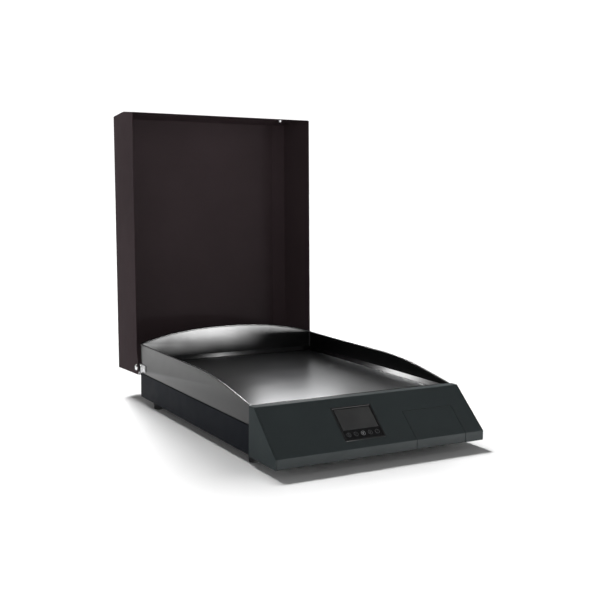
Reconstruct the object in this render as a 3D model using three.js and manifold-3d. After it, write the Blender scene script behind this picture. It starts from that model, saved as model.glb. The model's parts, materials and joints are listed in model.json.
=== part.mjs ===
// Countertop electric griddle with a hinged lid and a grease drawer. Millimetres, +Z up, front towards -Y.
// While building, y = 0 is the rear plane of the control housing, x = 0 the middle and z = 0 the table.
// The finished group is shifted along Y so that its origin lies under the centre of its bounding box.

import * as THREE from 'three';
import { mergeVertices } from 'three/addons/utils/BufferGeometryUtils.js';
import Module from 'manifold-3d';

const wasm = await Module();
wasm.setup();

// ---- Driving dimensions ----

const FIT_GAP = 0.3; // air left between pieces that touch on the real object
const FOOT_HEIGHT = 15;
const FOOT_RADIUS = 11;
const FOOT_X = 207;
const FOOT_ROWS = [14, 482]; // y of the front and rear feet

const HOUSING_WIDTH = 450;
const HOUSING_DEPTH = 101.4;
const HOUSING_FLAT = 18.4; // flat strip along the top of the control housing
const HOUSING_HEIGHT = 92.5;
const LIP_HEIGHT = 18.6; // upright face below the slope
const HOUSING_SHEET = 2;
const END_CAP = 2.7;

const CASING_WIDTH = 443;
const CASING_FRONT = 1;
const CASING_REAR = 554;
const CASING_HEIGHT = 54.5;
const CASING_SHEET = 1.5;
const CASING_FLANGE = 10; // inward fold along the casing's top edge

const GUARD_WIDTH = 444;
const GUARD_FRONT = 1;
const GUARD_REAR = 555;
const GUARD_SHEET = 2;
const GUARD_SEAM = 2; // shadow gap between casing and splash guard
const GUARD_SIDE_HEIGHT = 121;
const GUARD_ARCH_HEIGHT = 150.5;
const GUARD_RISE_END = 235; // y where the side walls reach their full height
const RIM_HEIGHT = 4;
const RIM_WIDTH = 4;
const CORNER_STRIP = 7.5; // sloping strip between guard walls and plate

const PLATE_HEIGHT = 78; // cooking surface above the casing's underside
const PLATE_THICKNESS = 8;
const DRAIN = { x: 126, y: 24, length: 60, width: 14 };
const GUTTER = { half: 200, margin: 3, depth: 3 }; // wider than the drain by the margin on each side
const CHUTE = { top: [35, 13, 35], bottom: [24, 17, 31], wall: 1.5 }; // rectangles are [half width, y0, y1]
const POST = { radius: 5, x: 202, rows: [44, 512] };
const ELEMENT = { radius: 4.25, passes: [35, 80, 125, 170], ends: 60, frontTurn: 95, rearTurn: 480 };
const BED = { half: 182, front: 50, rear: 512 }; // clamp plate and insulation under the elements
const SHIELD = { half: 190, front: 46, rear: 525, low: 60, skirt: 54, sheet: 1.5 };
const CUTOUT = { radius: 11, y: 150, low: 76.2 };

const PIVOT_Y = 562.5;
const PIVOT_HEIGHT = 66;
const LID_WIDTH = 453.6;
const LID_SHEET = 1.5;
const LID_BELOW = 16; // lid end below the pivot
const LID_ABOVE = 572; // lid end above the pivot
const LID_EDGE = 1; // flange edge behind the pivot axis
const LID_FLANGE = 126; // straight part of the side flanges
const LID_BEVEL = { width: 27.5, depth: 18 }; // slanting strip between each side flange and the panel
const LID_NOSE = { depth: 61, rise: 6.5, fall: 6.5 }; // low ridge across the lid's upper end
const LID_TILT = 2; // degrees that the open lid leans back
const STUD = { x: 151, depth: 10, radius: 4.6, neck: 3.6, head: 3, length: 5 };
const BRACKET_SCREWS = [[528, 83], [544, 83]]; // (y, z) of the screws that hold each hinge bracket

const DISPLAY = { x: -34, width: 86, height: 74, down: 57.2 }; // centre's distance down the slope
const DRAWER = { left: 69, right: 183, top: 45, front: 3 }; // top is the distance down the slope
const TRAY = { left: 75, right: 177, front: -79, rear: 140, low: 19, high: 46, sheet: 1.5 };
const INLET = { x: 150, z: 38, front: 538, back: 534 }; // mains inlet in the casing's rear wall
const BOARD = { left: -195, right: -75, front: 25, rear: 115, low: 24, high: 25.6 };
const SINK = { left: -60, right: -8, front: 70, rear: 120, fins: 8, pitch: 7.2, high: 46 };

// ---- Derived levels and widths ----

const casingLow = FOOT_HEIGHT;
const casingTop = casingLow + CASING_HEIGHT;
const casingFloor = casingLow + CASING_SHEET;
const guardLow = casingTop + GUARD_SEAM;
const housingTop = casingLow + HOUSING_HEIGHT;
const lipTop = casingLow + LIP_HEIGHT;
const sideTop = casingLow + GUARD_SIDE_HEIGHT;
const archTop = casingLow + GUARD_ARCH_HEIGHT;
const plateTop = casingLow + PLATE_HEIGHT;
const plateLow = plateTop - PLATE_THICKNESS;
const pivotZ = casingLow + PIVOT_HEIGHT;
const casingHalf = CASING_WIDTH / 2;
const guardHalf = GUARD_WIDTH / 2;
const housingHalf = HOUSING_WIDTH / 2;
const lidHalf = LID_WIDTH / 2;
const slopeRise = HOUSING_HEIGHT - LIP_HEIGHT;
const slopeRun = HOUSING_DEPTH - HOUSING_FLAT;
const slopeLength = Math.hypot(slopeRun, slopeRise);
const slopeAngle = Math.atan2(slopeRise, slopeRun);
const plateHalf = guardHalf - GUARD_SHEET - CORNER_STRIP - 0.5;
const plateFront = GUARD_FRONT + GUARD_SHEET + CORNER_STRIP + 0.5;
const plateRear = GUARD_REAR - GUARD_SHEET - CORNER_STRIP - 0.5;
const bracketInner = guardHalf + FIT_GAP;
const bracketOuter = bracketInner + 1.5;

// ---- Materials ----

function material(color, roughness, metalness) {
  return new THREE.MeshStandardMaterial({ color, roughness, metalness });
}

const LID_PAINT = material(0x3a3334, 0.45, 0.3);
const HOUSING_PAINT = material(0x2e3334, 0.6, 0.2);
const CASING_PAINT = material(0x20242b, 0.55, 0.2);
const ENAMEL = material(0x34383a, 0.2, 0.4);
const POLISHED_STEEL = material(0x55585a, 0.18, 0.9);
const STAINLESS = material(0xc8cacc, 0.25, 1);
const GALVANISED = material(0x9aa0a4, 0.45, 0.8);
const ALUMINIUM = material(0xb4b8bb, 0.4, 0.9);
const RUBBER = material(0x18191a, 0.85, 0);
const BLACK_PLASTIC = material(0x151617, 0.4, 0);
const GLASS = material(0x0d0e10, 0.08, 0);
const BOARD_GREEN = material(0x1f5a3a, 0.5, 0);
const CERAMIC = material(0xd9d4c6, 0.6, 0);
const MINERAL_WOOL = material(0xc9bd98, 0.95, 0);
const CABLE = material(0x8c3a2e, 0.5, 0);

// ---- Geometry helpers ----

// A closed geometry as a solid that can be joined and cut.
function solid(geometry) {
  geometry.deleteAttribute('normal');
  geometry.deleteAttribute('uv');
  const merged = mergeVertices(geometry, 1e-4);
  const vertProperties = new Float32Array(merged.attributes.position.array);
  const triVerts = new Uint32Array(merged.index.array);
  return new wasm.Manifold(new wasm.Mesh({ numProp: 3, vertProperties, triVerts }));
}

function toGeometry(shape) {
  const mesh = shape.getMesh();
  const geometry = new THREE.BufferGeometry();
  geometry.setAttribute('position', new THREE.BufferAttribute(mesh.vertProperties, 3));
  geometry.setIndex(new THREE.BufferAttribute(mesh.triVerts, 1));
  geometry.computeVertexNormals();
  return geometry;
}

function join(...shapes) {
  return shapes.reduce((whole, next) => whole.add(next));
}

function cut(whole, ...tools) {
  return tools.reduce((rest, tool) => rest.subtract(tool), whole);
}

// A box between opposite corners.
function box(x0, x1, y0, y1, z0, z1) {
  const geometry = new THREE.BoxGeometry(x1 - x0, y1 - y0, z1 - z0);
  geometry.translate((x0 + x1) / 2, (y0 + y1) / 2, (z0 + z1) / 2);
  return solid(geometry);
}

// The same box on the left (side = -1) or on the right (side = 1).
function sideBox(side, near, far, y0, y1, z0, z1) {
  const xs = [side * near, side * far].sort((a, b) => a - b);
  return box(xs[0], xs[1], y0, y1, z0, z1);
}

// A box whose bottom and top rectangles differ; each is [halfWidth, y0, y1].
function taperedBox(centreX, bottom, top, z0, z1) {
  const geometry = new THREE.BoxGeometry(2, 2, 2);
  const points = geometry.attributes.position;
  for (let i = 0; i < points.count; i += 1) {
    const [halfWidth, y0, y1] = points.getZ(i) > 0 ? top : bottom;
    const y = points.getY(i) > 0 ? y1 : y0;
    const z = points.getZ(i) > 0 ? z1 : z0;
    points.setXYZ(i, centreX + points.getX(i) * halfWidth, y, z);
  }
  return solid(geometry);
}

function outline(points) {
  return new THREE.Shape(points.map(([a, b]) => new THREE.Vector2(a, b)));
}

function extrude(shape, depth) {
  return new THREE.ExtrudeGeometry(shape, { depth, bevelEnabled: false, curveSegments: 12 });
}

// Prisms along X, from an outline in (y, z), and along Y, from an outline in (x, z).
function prismX(shape, x0, x1) {
  const geometry = extrude(shape, x1 - x0);
  const turn = new THREE.Matrix4();
  turn.makeBasis(new THREE.Vector3(0, 1, 0), new THREE.Vector3(0, 0, 1), new THREE.Vector3(1, 0, 0));
  geometry.applyMatrix4(turn);
  geometry.translate(x0, 0, 0);
  return solid(geometry);
}

function sidePrism(side, shape, near, far) {
  return side > 0 ? prismX(shape, near, far) : prismX(shape, -far, -near);
}

function prismY(shape, y0, y1) {
  const geometry = extrude(shape, y1 - y0);
  const turn = new THREE.Matrix4();
  turn.makeBasis(new THREE.Vector3(1, 0, 0), new THREE.Vector3(0, 0, 1), new THREE.Vector3(0, -1, 0));
  geometry.applyMatrix4(turn);
  geometry.translate(0, y1, 0);
  return solid(geometry);
}

function prismZ(shape, z0, z1) {
  const geometry = extrude(shape, z1 - z0);
  geometry.translate(0, 0, z0);
  return solid(geometry);
}

// Round bars along X, Y and Z.
function rodX(radius, x0, x1, y, z, sides = 20) {
  const geometry = new THREE.CylinderGeometry(radius, radius, Math.abs(x1 - x0), sides);
  geometry.rotateZ(Math.PI / 2);
  geometry.translate((x0 + x1) / 2, y, z);
  return solid(geometry);
}

function rodY(radius, y0, y1, x, z, sides = 16) {
  const geometry = new THREE.CylinderGeometry(radius, radius, y1 - y0, sides);
  geometry.translate(x, (y0 + y1) / 2, z);
  return solid(geometry);
}

function rodZ(radius, z0, z1, x, y, sides = 20) {
  const geometry = new THREE.CylinderGeometry(radius, radius, z1 - z0, sides);
  geometry.rotateX(Math.PI / 2);
  geometry.translate(x, y, (z0 + z1) / 2);
  return solid(geometry);
}

// A round tube along a smooth curve through the points.
function tube(points, radius, steps, sides = 8) {
  const section = outline(
    Array.from({ length: sides }, (_, i) => {
      const turn = (2 * Math.PI * i) / sides;
      return [radius * Math.cos(turn), radius * Math.sin(turn)];
    }),
  );
  const path = new THREE.CatmullRomCurve3(points.map((p) => new THREE.Vector3(...p)));
  return solid(new THREE.ExtrudeGeometry(section, { steps, extrudePath: path }));
}

// A long hole with round ends, lying along X.
function slotHole(centreX, centreY, length, width, z0, z1) {
  const radius = width / 2;
  const reach = length / 2 - radius;
  const shape = new THREE.Shape();
  shape.absarc(centreX + reach, centreY, radius, -Math.PI / 2, Math.PI / 2, false);
  shape.absarc(centreX - reach, centreY, radius, Math.PI / 2, (3 * Math.PI) / 2, false);
  return prismZ(shape, z0, z1);
}

// A point on or under the slope: down it by a distance and below its surface by a depth.
function slopePoint(down, depth = 0) {
  const y = -HOUSING_FLAT - down * Math.cos(slopeAngle) + depth * Math.sin(slopeAngle);
  const z = housingTop - down * Math.sin(slopeAngle) - depth * Math.cos(slopeAngle);
  return [y, z];
}

function add(parent, name, shape, surface) {
  const mesh = new THREE.Mesh(toGeometry(shape), surface);
  mesh.name = name;
  parent.add(mesh);
}

const SIDES = [['left', -1], ['right', 1]];

// ---- Lower casing ----

function basePan() {
  const shell = box(-casingHalf, casingHalf, CASING_FRONT, CASING_REAR, casingLow, casingTop);
  const innerHalf = casingHalf - CASING_SHEET;
  const innerFront = CASING_FRONT + CASING_SHEET;
  const innerRear = CASING_REAR - CASING_SHEET;
  const inside = box(-innerHalf, innerHalf, innerFront, innerRear, casingFloor, casingTop - CASING_SHEET);
  const mouthHalf = casingHalf - CASING_FLANGE;
  const mouthFront = CASING_FRONT + CASING_FLANGE;
  const mouthRear = CASING_REAR - CASING_FLANGE;
  const mouthLow = casingTop - 2 * CASING_SHEET;
  const mouth = box(-mouthHalf, mouthHalf, mouthFront, mouthRear, mouthLow, casingTop + 1);
  const drawerWindow = box(DRAWER.left - 1, DRAWER.right + 1, 0, innerFront + 1, casingFloor, 54);
  const cableWindow = box(-60, -20, 0, innerFront + 1, 26, 46);
  const { x: inletX, z: inletZ } = INLET;
  const inletWindow = box(
    inletX - 14.8, inletX + 14.8, innerRear - 1, CASING_REAR + 1, inletZ - 10.8, inletZ + 10.8,
  );
  const vents = [];
  for (let i = 0; i < 9; i += 1) {
    const x = -160 + i * 9;
    vents.push(box(x, x + 3, innerRear - 1, CASING_REAR + 1, 30, 56));
  }
  return cut(shell, inside, mouth, drawerWindow, cableWindow, inletWindow, ...vents);
}

// A rubber foot with a stepped side and a recess underneath for its screw.
function foot(x, y) {
  const top = FOOT_HEIGHT - FIT_GAP;
  const profile = [
    [0, 3], [4, 3], [4, 0], [9, 0], [9.6, 0.8], [9.9, 9], [FOOT_RADIUS, 10], [FOOT_RADIUS, top], [0, top],
  ];
  const geometry = new THREE.LatheGeometry(profile.map(([r, h]) => new THREE.Vector2(r, h)), 24);
  geometry.rotateX(Math.PI / 2);
  geometry.translate(x, y, 0);
  return solid(geometry);
}

function sealStrip() {
  const inset = 3;
  const width = 7;
  const low = casingTop + FIT_GAP;
  const high = guardLow - FIT_GAP;
  const half = casingHalf - inset;
  const front = CASING_FRONT + inset;
  const rear = CASING_REAR - inset;
  const outer = box(-half, half, front, rear, low, high);
  return cut(outer, box(-half + width, half - width, front + width, rear - width, low - 1, high + 1));
}

function platePost(x, y) {
  return rodZ(POST.radius, casingFloor + FIT_GAP, plateLow - FIT_GAP, x, y, 12);
}

// ---- Splash guard ----

// The top edge of a side wall, drawn from the front to the rear, lowered by `drop`.
function sideEdge(drop) {
  const shape = new THREE.Shape();
  shape.moveTo(GUARD_FRONT, housingTop - drop);
  shape.bezierCurveTo(90, housingTop + 16 - drop, 150, sideTop - drop, GUARD_RISE_END, sideTop - drop);
  shape.lineTo(GUARD_REAR, sideTop - drop);
  return shape;
}

function sideWallOutline() {
  const shape = sideEdge(0);
  shape.lineTo(GUARD_REAR, guardLow);
  shape.lineTo(GUARD_FRONT, guardLow);
  return shape;
}

function sideRimOutline() {
  const shape = sideEdge(0);
  const lower = sideEdge(RIM_HEIGHT).getPoints(12).reverse();
  lower.forEach((point) => shape.lineTo(point.x, point.y));
  return shape;
}

// The back wall's arched edge, drawn from left to right, lowered by `drop`.
function archEdge(drop) {
  const shape = new THREE.Shape();
  shape.moveTo(-guardHalf, sideTop - drop);
  shape.bezierCurveTo(-150, sideTop + 25 - drop, -70, archTop - drop, 0, archTop - drop);
  shape.bezierCurveTo(70, archTop - drop, 150, sideTop + 25 - drop, guardHalf, sideTop - drop);
  return shape;
}

function backWallOutline() {
  const shape = archEdge(0);
  shape.lineTo(guardHalf, guardLow);
  shape.lineTo(-guardHalf, guardLow);
  return shape;
}

function backRimOutline() {
  const shape = archEdge(0);
  const lower = archEdge(RIM_HEIGHT).getPoints(12).reverse();
  lower.forEach((point) => shape.lineTo(point.x, point.y));
  return shape;
}

function splashGuard() {
  const inner = guardHalf - GUARD_SHEET;
  const rimOut = (RIM_WIDTH - GUARD_SHEET) / 2;
  const walls = SIDES.map(([, side]) => sidePrism(side, sideWallOutline(), inner, guardHalf));
  const rims = SIDES.map(([, side]) => sidePrism(side, sideRimOutline(), inner - rimOut, guardHalf + rimOut));
  const front = box(-guardHalf, guardHalf, GUARD_FRONT, GUARD_FRONT + GUARD_SHEET, guardLow, housingTop);
  const back = prismY(backWallOutline(), GUARD_REAR - GUARD_SHEET, GUARD_REAR);
  const backRim = prismY(backRimOutline(), GUARD_REAR - GUARD_SHEET - rimOut, GUARD_REAR + rimOut);
  const stripTop = plateTop + 0.5 + CORNER_STRIP;
  const ring = box(-inner - 1, inner + 1, GUARD_FRONT + 1, GUARD_REAR - 1, plateTop - 3, stripTop);
  const mouthHalf = inner - CORNER_STRIP;
  const mouthFront = GUARD_FRONT + GUARD_SHEET + CORNER_STRIP;
  const mouthRear = GUARD_REAR - GUARD_SHEET - CORNER_STRIP;
  const mouth = box(-mouthHalf, mouthHalf, mouthFront, mouthRear, plateTop - 4, plateTop + 0.6);
  const flare = CORNER_STRIP + 2;
  const flareBottom = [mouthHalf, mouthFront, mouthRear];
  const flareTop = [mouthHalf + flare, mouthFront - flare, mouthRear + flare];
  const slopes = taperedBox(0, flareBottom, flareTop, plateTop + 0.5, plateTop + 0.5 + flare);
  const strip = cut(ring, mouth, slopes);
  const whole = join(...walls, ...rims, front, back, backRim, strip);
  const holes = SIDES.flatMap(([, side]) => (
    BRACKET_SCREWS.map(([y, z]) => rodX(2.2, side * (inner - 1), side * (guardHalf + 1), y, z))
  ));
  return cut(whole, ...holes);
}

// ---- Cooking plate and what heats it ----

function cookingPlate() {
  const chamfer = 3;
  const slab = prismZ(
    outline([
      [-plateHalf, plateFront + chamfer], [-plateHalf + chamfer, plateFront],
      [plateHalf - chamfer, plateFront], [plateHalf, plateFront + chamfer],
      [plateHalf, plateRear - chamfer], [plateHalf - chamfer, plateRear],
      [-plateHalf + chamfer, plateRear], [-plateHalf, plateRear - chamfer],
    ]),
    plateLow,
    plateTop,
  );
  const reach = DRAIN.width / 2 + GUTTER.margin;
  const gutter = box(
    -GUTTER.half, GUTTER.half, DRAIN.y - reach, DRAIN.y + reach, plateTop - GUTTER.depth, plateTop + 1,
  );
  const hole = slotHole(DRAIN.x, DRAIN.y, DRAIN.length, DRAIN.width, plateLow - 1, plateTop + 1);
  return cut(slab, gutter, hole);
}

// A funnel that leads grease from the plate's slot to the tray.
function drainChute() {
  const top = plateLow - FIT_GAP;
  const low = TRAY.high + 4;
  const { wall } = CHUTE;
  const thinner = ([half, y0, y1]) => [half - wall, y0 + wall, y1 - wall];
  const wide = thinner(CHUTE.top);
  const narrow = thinner(CHUTE.bottom);
  const outer = taperedBox(DRAIN.x, CHUTE.bottom, CHUTE.top, low, top);
  const inner = taperedBox(DRAIN.x, narrow, wide, low, top);
  const outlet = taperedBox(DRAIN.x, narrow, narrow, low - 1, low + 0.1);
  const mouth = taperedBox(DRAIN.x, wide, wide, top - 0.1, top + 1);
  return cut(outer, inner, outlet, mouth);
}

// A tubular element folded into four passes, with both ends at the front.
function heatingElement(side) {
  const { radius, passes, ends, frontTurn, rearTurn } = ELEMENT;
  const z = plateLow - FIT_GAP - radius;
  const turnRadius = (passes[1] - passes[0]) / 2;
  const overlap = 0.5;
  const pieces = passes.map((x, i) => {
    const end = i === 0 || i === passes.length - 1;
    return rodY(radius, end ? ends : frontTurn - overlap, rearTurn + overlap, side * x, z, 10);
  });
  for (let i = 0; i + 1 < passes.length; i += 1) {
    const middle = (passes[i] + passes[i + 1]) / 2;
    const atRear = i % 2 === 0;
    const bend = [];
    for (let k = 0; k <= 8; k += 1) {
      const turn = (Math.PI * k) / 8;
      const reach = turnRadius * Math.sin(turn);
      const y = atRear ? rearTurn + reach : frontTurn - reach;
      bend.push([side * (middle - turnRadius * Math.cos(turn)), y, z]);
    }
    pieces.push(tube(bend, radius, 8, 10));
  }
  return join(...pieces);
}

// A layer as large as the heated area, between two levels.
function bedLayer(z0, z1) {
  return box(-BED.half, BED.half, BED.front, BED.rear, z0, z1);
}

function heatShield() {
  const { half, front, rear, low, skirt, sheet } = SHIELD;
  const top = low + sheet;
  const folds = SIDES.map(([, side]) => sideBox(side, half - sheet, half, front, rear, skirt, top));
  return join(box(-half, half, front, rear, low, top), ...folds);
}

function thermostatProbe() {
  const z = plateLow - FIT_GAP - 3.2;
  return join(rodY(3, 250, 335, 0, z, 12), rodY(1.6, 225, 251, 0, z, 12));
}

function safetyCutout() {
  return rodZ(CUTOUT.radius, CUTOUT.low, plateLow - FIT_GAP, 0, CUTOUT.y, 18);
}

// ---- Electrical pieces ----

function mainsInlet() {
  const { x, z, front, back } = INLET;
  const flange = box(x - 25, x + 25, CASING_REAR + FIT_GAP, CASING_REAR + 2.3, z - 14, z + 14);
  const body = box(x - 14.2, x + 14.2, back, CASING_REAR + 1, z - 10.2, z + 10.2);
  const socket = box(x - 12, x + 12, front, CASING_REAR + 4, z - 8, z + 8);
  const screws = [-20, 20].map((dx) => rodY(1.7, CASING_REAR - 1, CASING_REAR + 4, x + dx, z));
  return cut(join(flange, body), socket, ...screws);
}

function inletPin(dx, dz) {
  const x = INLET.x + dx;
  const z = INLET.z + dz;
  return box(x - 1, x + 1, INLET.front + FIT_GAP, INLET.front + 12, z - 2, z + 2);
}

function terminalBlock() {
  const block = box(INLET.x - 21, INLET.x + 21, 496, 518, casingFloor + FIT_GAP, 33);
  const ways = [-13, 0, 13].map((dx) => rodY(3, 495, 519, INLET.x + dx, 25, 12));
  const screws = [-13, 0, 13].map((dx) => rodZ(2.4, 24, 34, INLET.x + dx, 507, 12));
  return cut(block, ...ways, ...screws);
}

function powerBoard() {
  const { left, right, front, rear, low, high } = BOARD;
  const inset = 5;
  const legs = [left + inset, right - inset].flatMap((x) => (
    [front + inset, rear - inset].map((y) => rodZ(3, casingFloor + FIT_GAP, low + 0.2, x, y, 10))
  ));
  const seat = high - 0.2;
  const relays = [-185, -150].map((x) => box(x, x + 28, 82, 98, seat, 44));
  const transformer = box(-188, -155, 38, 66, seat, 48);
  const capacitors = [-140, -118].map((x) => rodZ(8, seat, 45, x, 48, 14));
  const connectors = [34, 60].map((y) => box(-92, -80, y, y + 18, seat, 35));
  const board = box(left, right, front, rear, low, high);
  return join(board, ...legs, ...relays, transformer, ...capacitors, ...connectors);
}

function heatSink() {
  const { left, right, front, rear, pitch, high } = SINK;
  const base = box(left, right, front, rear, casingFloor + FIT_GAP, 21);
  const fins = [];
  for (let i = 0; i < SINK.fins; i += 1) {
    const x = left + i * pitch;
    fins.push(box(x, x + 1.6, front, rear, 20.5, high));
  }
  return join(base, ...fins);
}

// ---- Control housing ----

function housingOutline() {
  return outline([
    [0, housingTop], slopePoint(0), slopePoint(slopeLength), [-HOUSING_DEPTH, casingLow], [0, casingLow],
  ]);
}

// The space inside the folded sheet, open at the rear.
function housingHollow() {
  const topCorner = slopePoint(HOUSING_SHEET * Math.tan(slopeAngle / 2), HOUSING_SHEET);
  const lipBend = (Math.PI / 2 - slopeAngle) / 2;
  const lipCorner = slopePoint(slopeLength - HOUSING_SHEET * Math.tan(lipBend), HOUSING_SHEET);
  const floor = casingLow + HOUSING_SHEET;
  const inside = -HOUSING_DEPTH + HOUSING_SHEET;
  return outline([[1, topCorner[1]], topCorner, lipCorner, [inside, floor], [1, floor]]);
}

function drawerOpening() {
  const behindLip = -HOUSING_DEPTH + 8;
  const below = casingLow - 5;
  const beyond = -HOUSING_DEPTH - 8;
  return outline([
    slopePoint(DRAWER.top, -6), slopePoint(DRAWER.top, 6), slopePoint(slopeLength - 6, 6),
    [behindLip, below], [beyond, below], [beyond, lipTop + 6],
  ]);
}

function frontHousing() {
  const half = housingHalf - END_CAP - FIT_GAP;
  const sheet = cut(prismX(housingOutline(), -half, half), prismX(housingHollow(), -half - 1, half + 1));
  const opening = prismX(drawerOpening(), DRAWER.left, DRAWER.right);
  const reach = DISPLAY.height / 2 + FIT_GAP;
  const windowOutline = outline([
    slopePoint(DISPLAY.down - reach, -4), slopePoint(DISPLAY.down - reach, 4),
    slopePoint(DISPLAY.down + reach, 4), slopePoint(DISPLAY.down + reach, -4),
  ]);
  const side = DISPLAY.width / 2 + FIT_GAP;
  return cut(sheet, opening, prismX(windowOutline, DISPLAY.x - side, DISPLAY.x + side));
}

// Pieces of the display are drawn flat, with z = 0 at the slope's surface and y = 0 at their centre.
function displayBezel() {
  const halfWidth = DISPLAY.width / 2;
  const halfHeight = DISPLAY.height / 2;
  const outer = box(-halfWidth, halfWidth, -halfHeight, halfHeight, -2.4, 0.3);
  return cut(outer, box(-halfWidth + 3, halfWidth - 3, -halfHeight + 3, halfHeight - 3, -4, 2));
}

function displayGlass() {
  const halfWidth = DISPLAY.width / 2 - 3 - FIT_GAP;
  const halfHeight = DISPLAY.height / 2 - 3 - FIT_GAP;
  return box(-halfWidth, halfWidth, -halfHeight, halfHeight, -1.8, -0.5);
}

function lcdModule() {
  return join(box(-40, 40, -34, 34, -8.4, -2.7), box(-12, 12, -36, -33, -6, -4));
}

function controlBoard() {
  const board = box(-47, 47, -40, 40, -18, -16.4);
  const corners = [[-44, -36], [44, -36], [-44, 36], [44, 36]];
  const pillars = corners.map(([x, y]) => rodZ(2.2, -17, -2.7, x, y, 10));
  const processor = box(-10, 10, -8, 12, -19.6, -17.9);
  const buzzer = rodZ(6, -23.5, -17.9, 28, 20, 14);
  const socket = box(-30, -14, -32, -24, -23, -17.9);
  return join(board, ...pillars, processor, buzzer, socket);
}

// ---- Grease drawer ----

function drawerFront() {
  const gap = 0.8;
  const inner = DRAWER.front;
  const topDown = DRAWER.top + gap;
  const lipBend = (Math.PI / 2 - slopeAngle) / 2;
  const lipCorner = slopePoint(slopeLength - inner * Math.tan(lipBend), inner);
  const low = casingLow + 0.6;
  const back = -HOUSING_DEPTH + inner;
  const fold = -HOUSING_DEPTH + 7.4;
  const section = outline([
    slopePoint(topDown), slopePoint(slopeLength), [-HOUSING_DEPTH, low], [fold, low],
    [fold, low + inner], [back, low + inner], lipCorner, slopePoint(topDown, inner),
  ]);
  return prismX(section, DRAWER.left + gap, DRAWER.right - gap);
}

function greaseTray() {
  const { left, right, front, rear, low, high, sheet } = TRAY;
  const outer = box(left, right, front, rear, low, high);
  return cut(outer, box(left + sheet, right - sheet, front + sheet, rear - sheet, low + sheet, high + 1));
}

// A folded strip that ties the drawer front to the tray.
function drawerBracket() {
  const frontLeg = -HOUSING_DEPTH + DRAWER.front + FIT_GAP;
  const rearLeg = TRAY.front - FIT_GAP;
  const sheet = 1.5;
  const [left, right, low] = [90, 162, 22];
  const shelf = box(left, right, frontLeg, rearLeg, low, low + sheet);
  const frontTab = box(left, right, frontLeg, frontLeg + sheet, low, 31);
  const rearTab = box(left, right, rearLeg - sheet, rearLeg, low, 36);
  return join(shelf, frontTab, rearTab);
}

function drawerRail(side) {
  const inner = side < 0 ? TRAY.left - FIT_GAP : TRAY.right + FIT_GAP;
  const low = casingLow + HOUSING_SHEET + FIT_GAP;
  const rear = TRAY.rear + 12;
  const upright = side < 0 ? [inner - 1.5, inner] : [inner, inner + 1.5];
  const shelf = side < 0 ? [inner - 1.5, inner + 6] : [inner - 6, inner + 1.5];
  const wall = box(upright[0], upright[1], TRAY.front - 2, rear, low, 30);
  const ledge = box(shelf[0], shelf[1], TRAY.front - 2, rear, low, TRAY.low - FIT_GAP);
  return join(wall, ledge);
}

// ---- Hinge ----

function hingeBracket(side) {
  const shape = new THREE.Shape();
  const reach = 9.5;
  shape.moveTo(520, 76);
  shape.lineTo(548, 72);
  shape.lineTo(548, 65.5);
  shape.lineTo(554.6, 65.5);
  shape.lineTo(554.6, pivotZ - reach);
  shape.lineTo(PIVOT_Y, pivotZ - reach);
  shape.absarc(PIVOT_Y, pivotZ, reach, -Math.PI / 2, Math.PI / 2, false);
  shape.lineTo(520, 90);
  const plate = sidePrism(side, shape, bracketInner, bracketOuter);
  const stop = sideBox(side, bracketInner, bracketOuter + 3, 552.3, 554.6, 65.5, 70.5);
  const pivotHole = rodX(3.3, side * 221, side * 225, PIVOT_Y, pivotZ, 24);
  const screwHoles = BRACKET_SCREWS.map(([y, z]) => rodX(2.2, side * 221, side * 225, y, z));
  return cut(join(plate, stop), pivotHole, ...screwHoles);
}

function bracketScrew(side, y, z) {
  const head = rodX(3.8, side * (bracketOuter + 0.2), side * (bracketOuter + 1.1), y, z, 16);
  const shank = rodX(1.9, side * 216, side * (bracketOuter + 0.5), y, z, 12);
  return join(head, shank);
}

// The pivot bolt: a shaft with a domed head outside the lid.
function pivotBolt(side) {
  const start = 214;
  const headStart = lidHalf + FIT_GAP;
  const length = headStart - start;
  const profile = [
    [0, 0], [3, 0], [3, length], [6.4, length], [6.4, length + 1.6], [5.4, length + 3],
    [3.2, length + 4.2], [0, length + 4.6],
  ];
  const geometry = new THREE.LatheGeometry(profile.map(([r, h]) => new THREE.Vector2(r, h)), 24);
  geometry.rotateZ(side > 0 ? -Math.PI / 2 : Math.PI / 2);
  geometry.translate(side * start, PIVOT_Y, pivotZ);
  return solid(geometry);
}

function pivotNut(side) {
  const far = bracketInner - FIT_GAP;
  const nut = rodX(5.7, side * (far - 4.6), side * far, PIVOT_Y, pivotZ, 6);
  return cut(nut, rodX(3.2, side * (far - 6), side * (far + 1), PIVOT_Y, pivotZ, 24));
}

function hingeWasher(side) {
  const near = bracketOuter + 0.2;
  const far = lidHalf - LID_SHEET - 0.2;
  const disc = rodX(7, side * near, side * far, PIVOT_Y, pivotZ, 24);
  return cut(disc, rodX(3.3, side * (near - 1), side * (far + 1), PIVOT_Y, pivotZ, 24));
}

// ---- Lid ----
// It is drawn upright about its pivot axis: y is the depth behind the axis and z the height above it.

function lidSection(inset) {
  const { width, depth } = LID_BEVEL;
  const slant = Math.hypot(width, depth);
  const half = lidHalf - inset;
  const edge = inset > 0 ? LID_EDGE - 1 : LID_EDGE;
  const bevelStart = LID_EDGE + LID_FLANGE - (inset * (slant - depth)) / width;
  const panel = LID_EDGE + LID_FLANGE + depth - inset;
  const panelHalf = lidHalf - width - (inset * (slant - width)) / depth;
  return outline([
    [-half, edge], [half, edge], [half, bevelStart],
    [panelHalf, panel], [-panelHalf, panel], [-half, bevelStart],
  ]);
}

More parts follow.
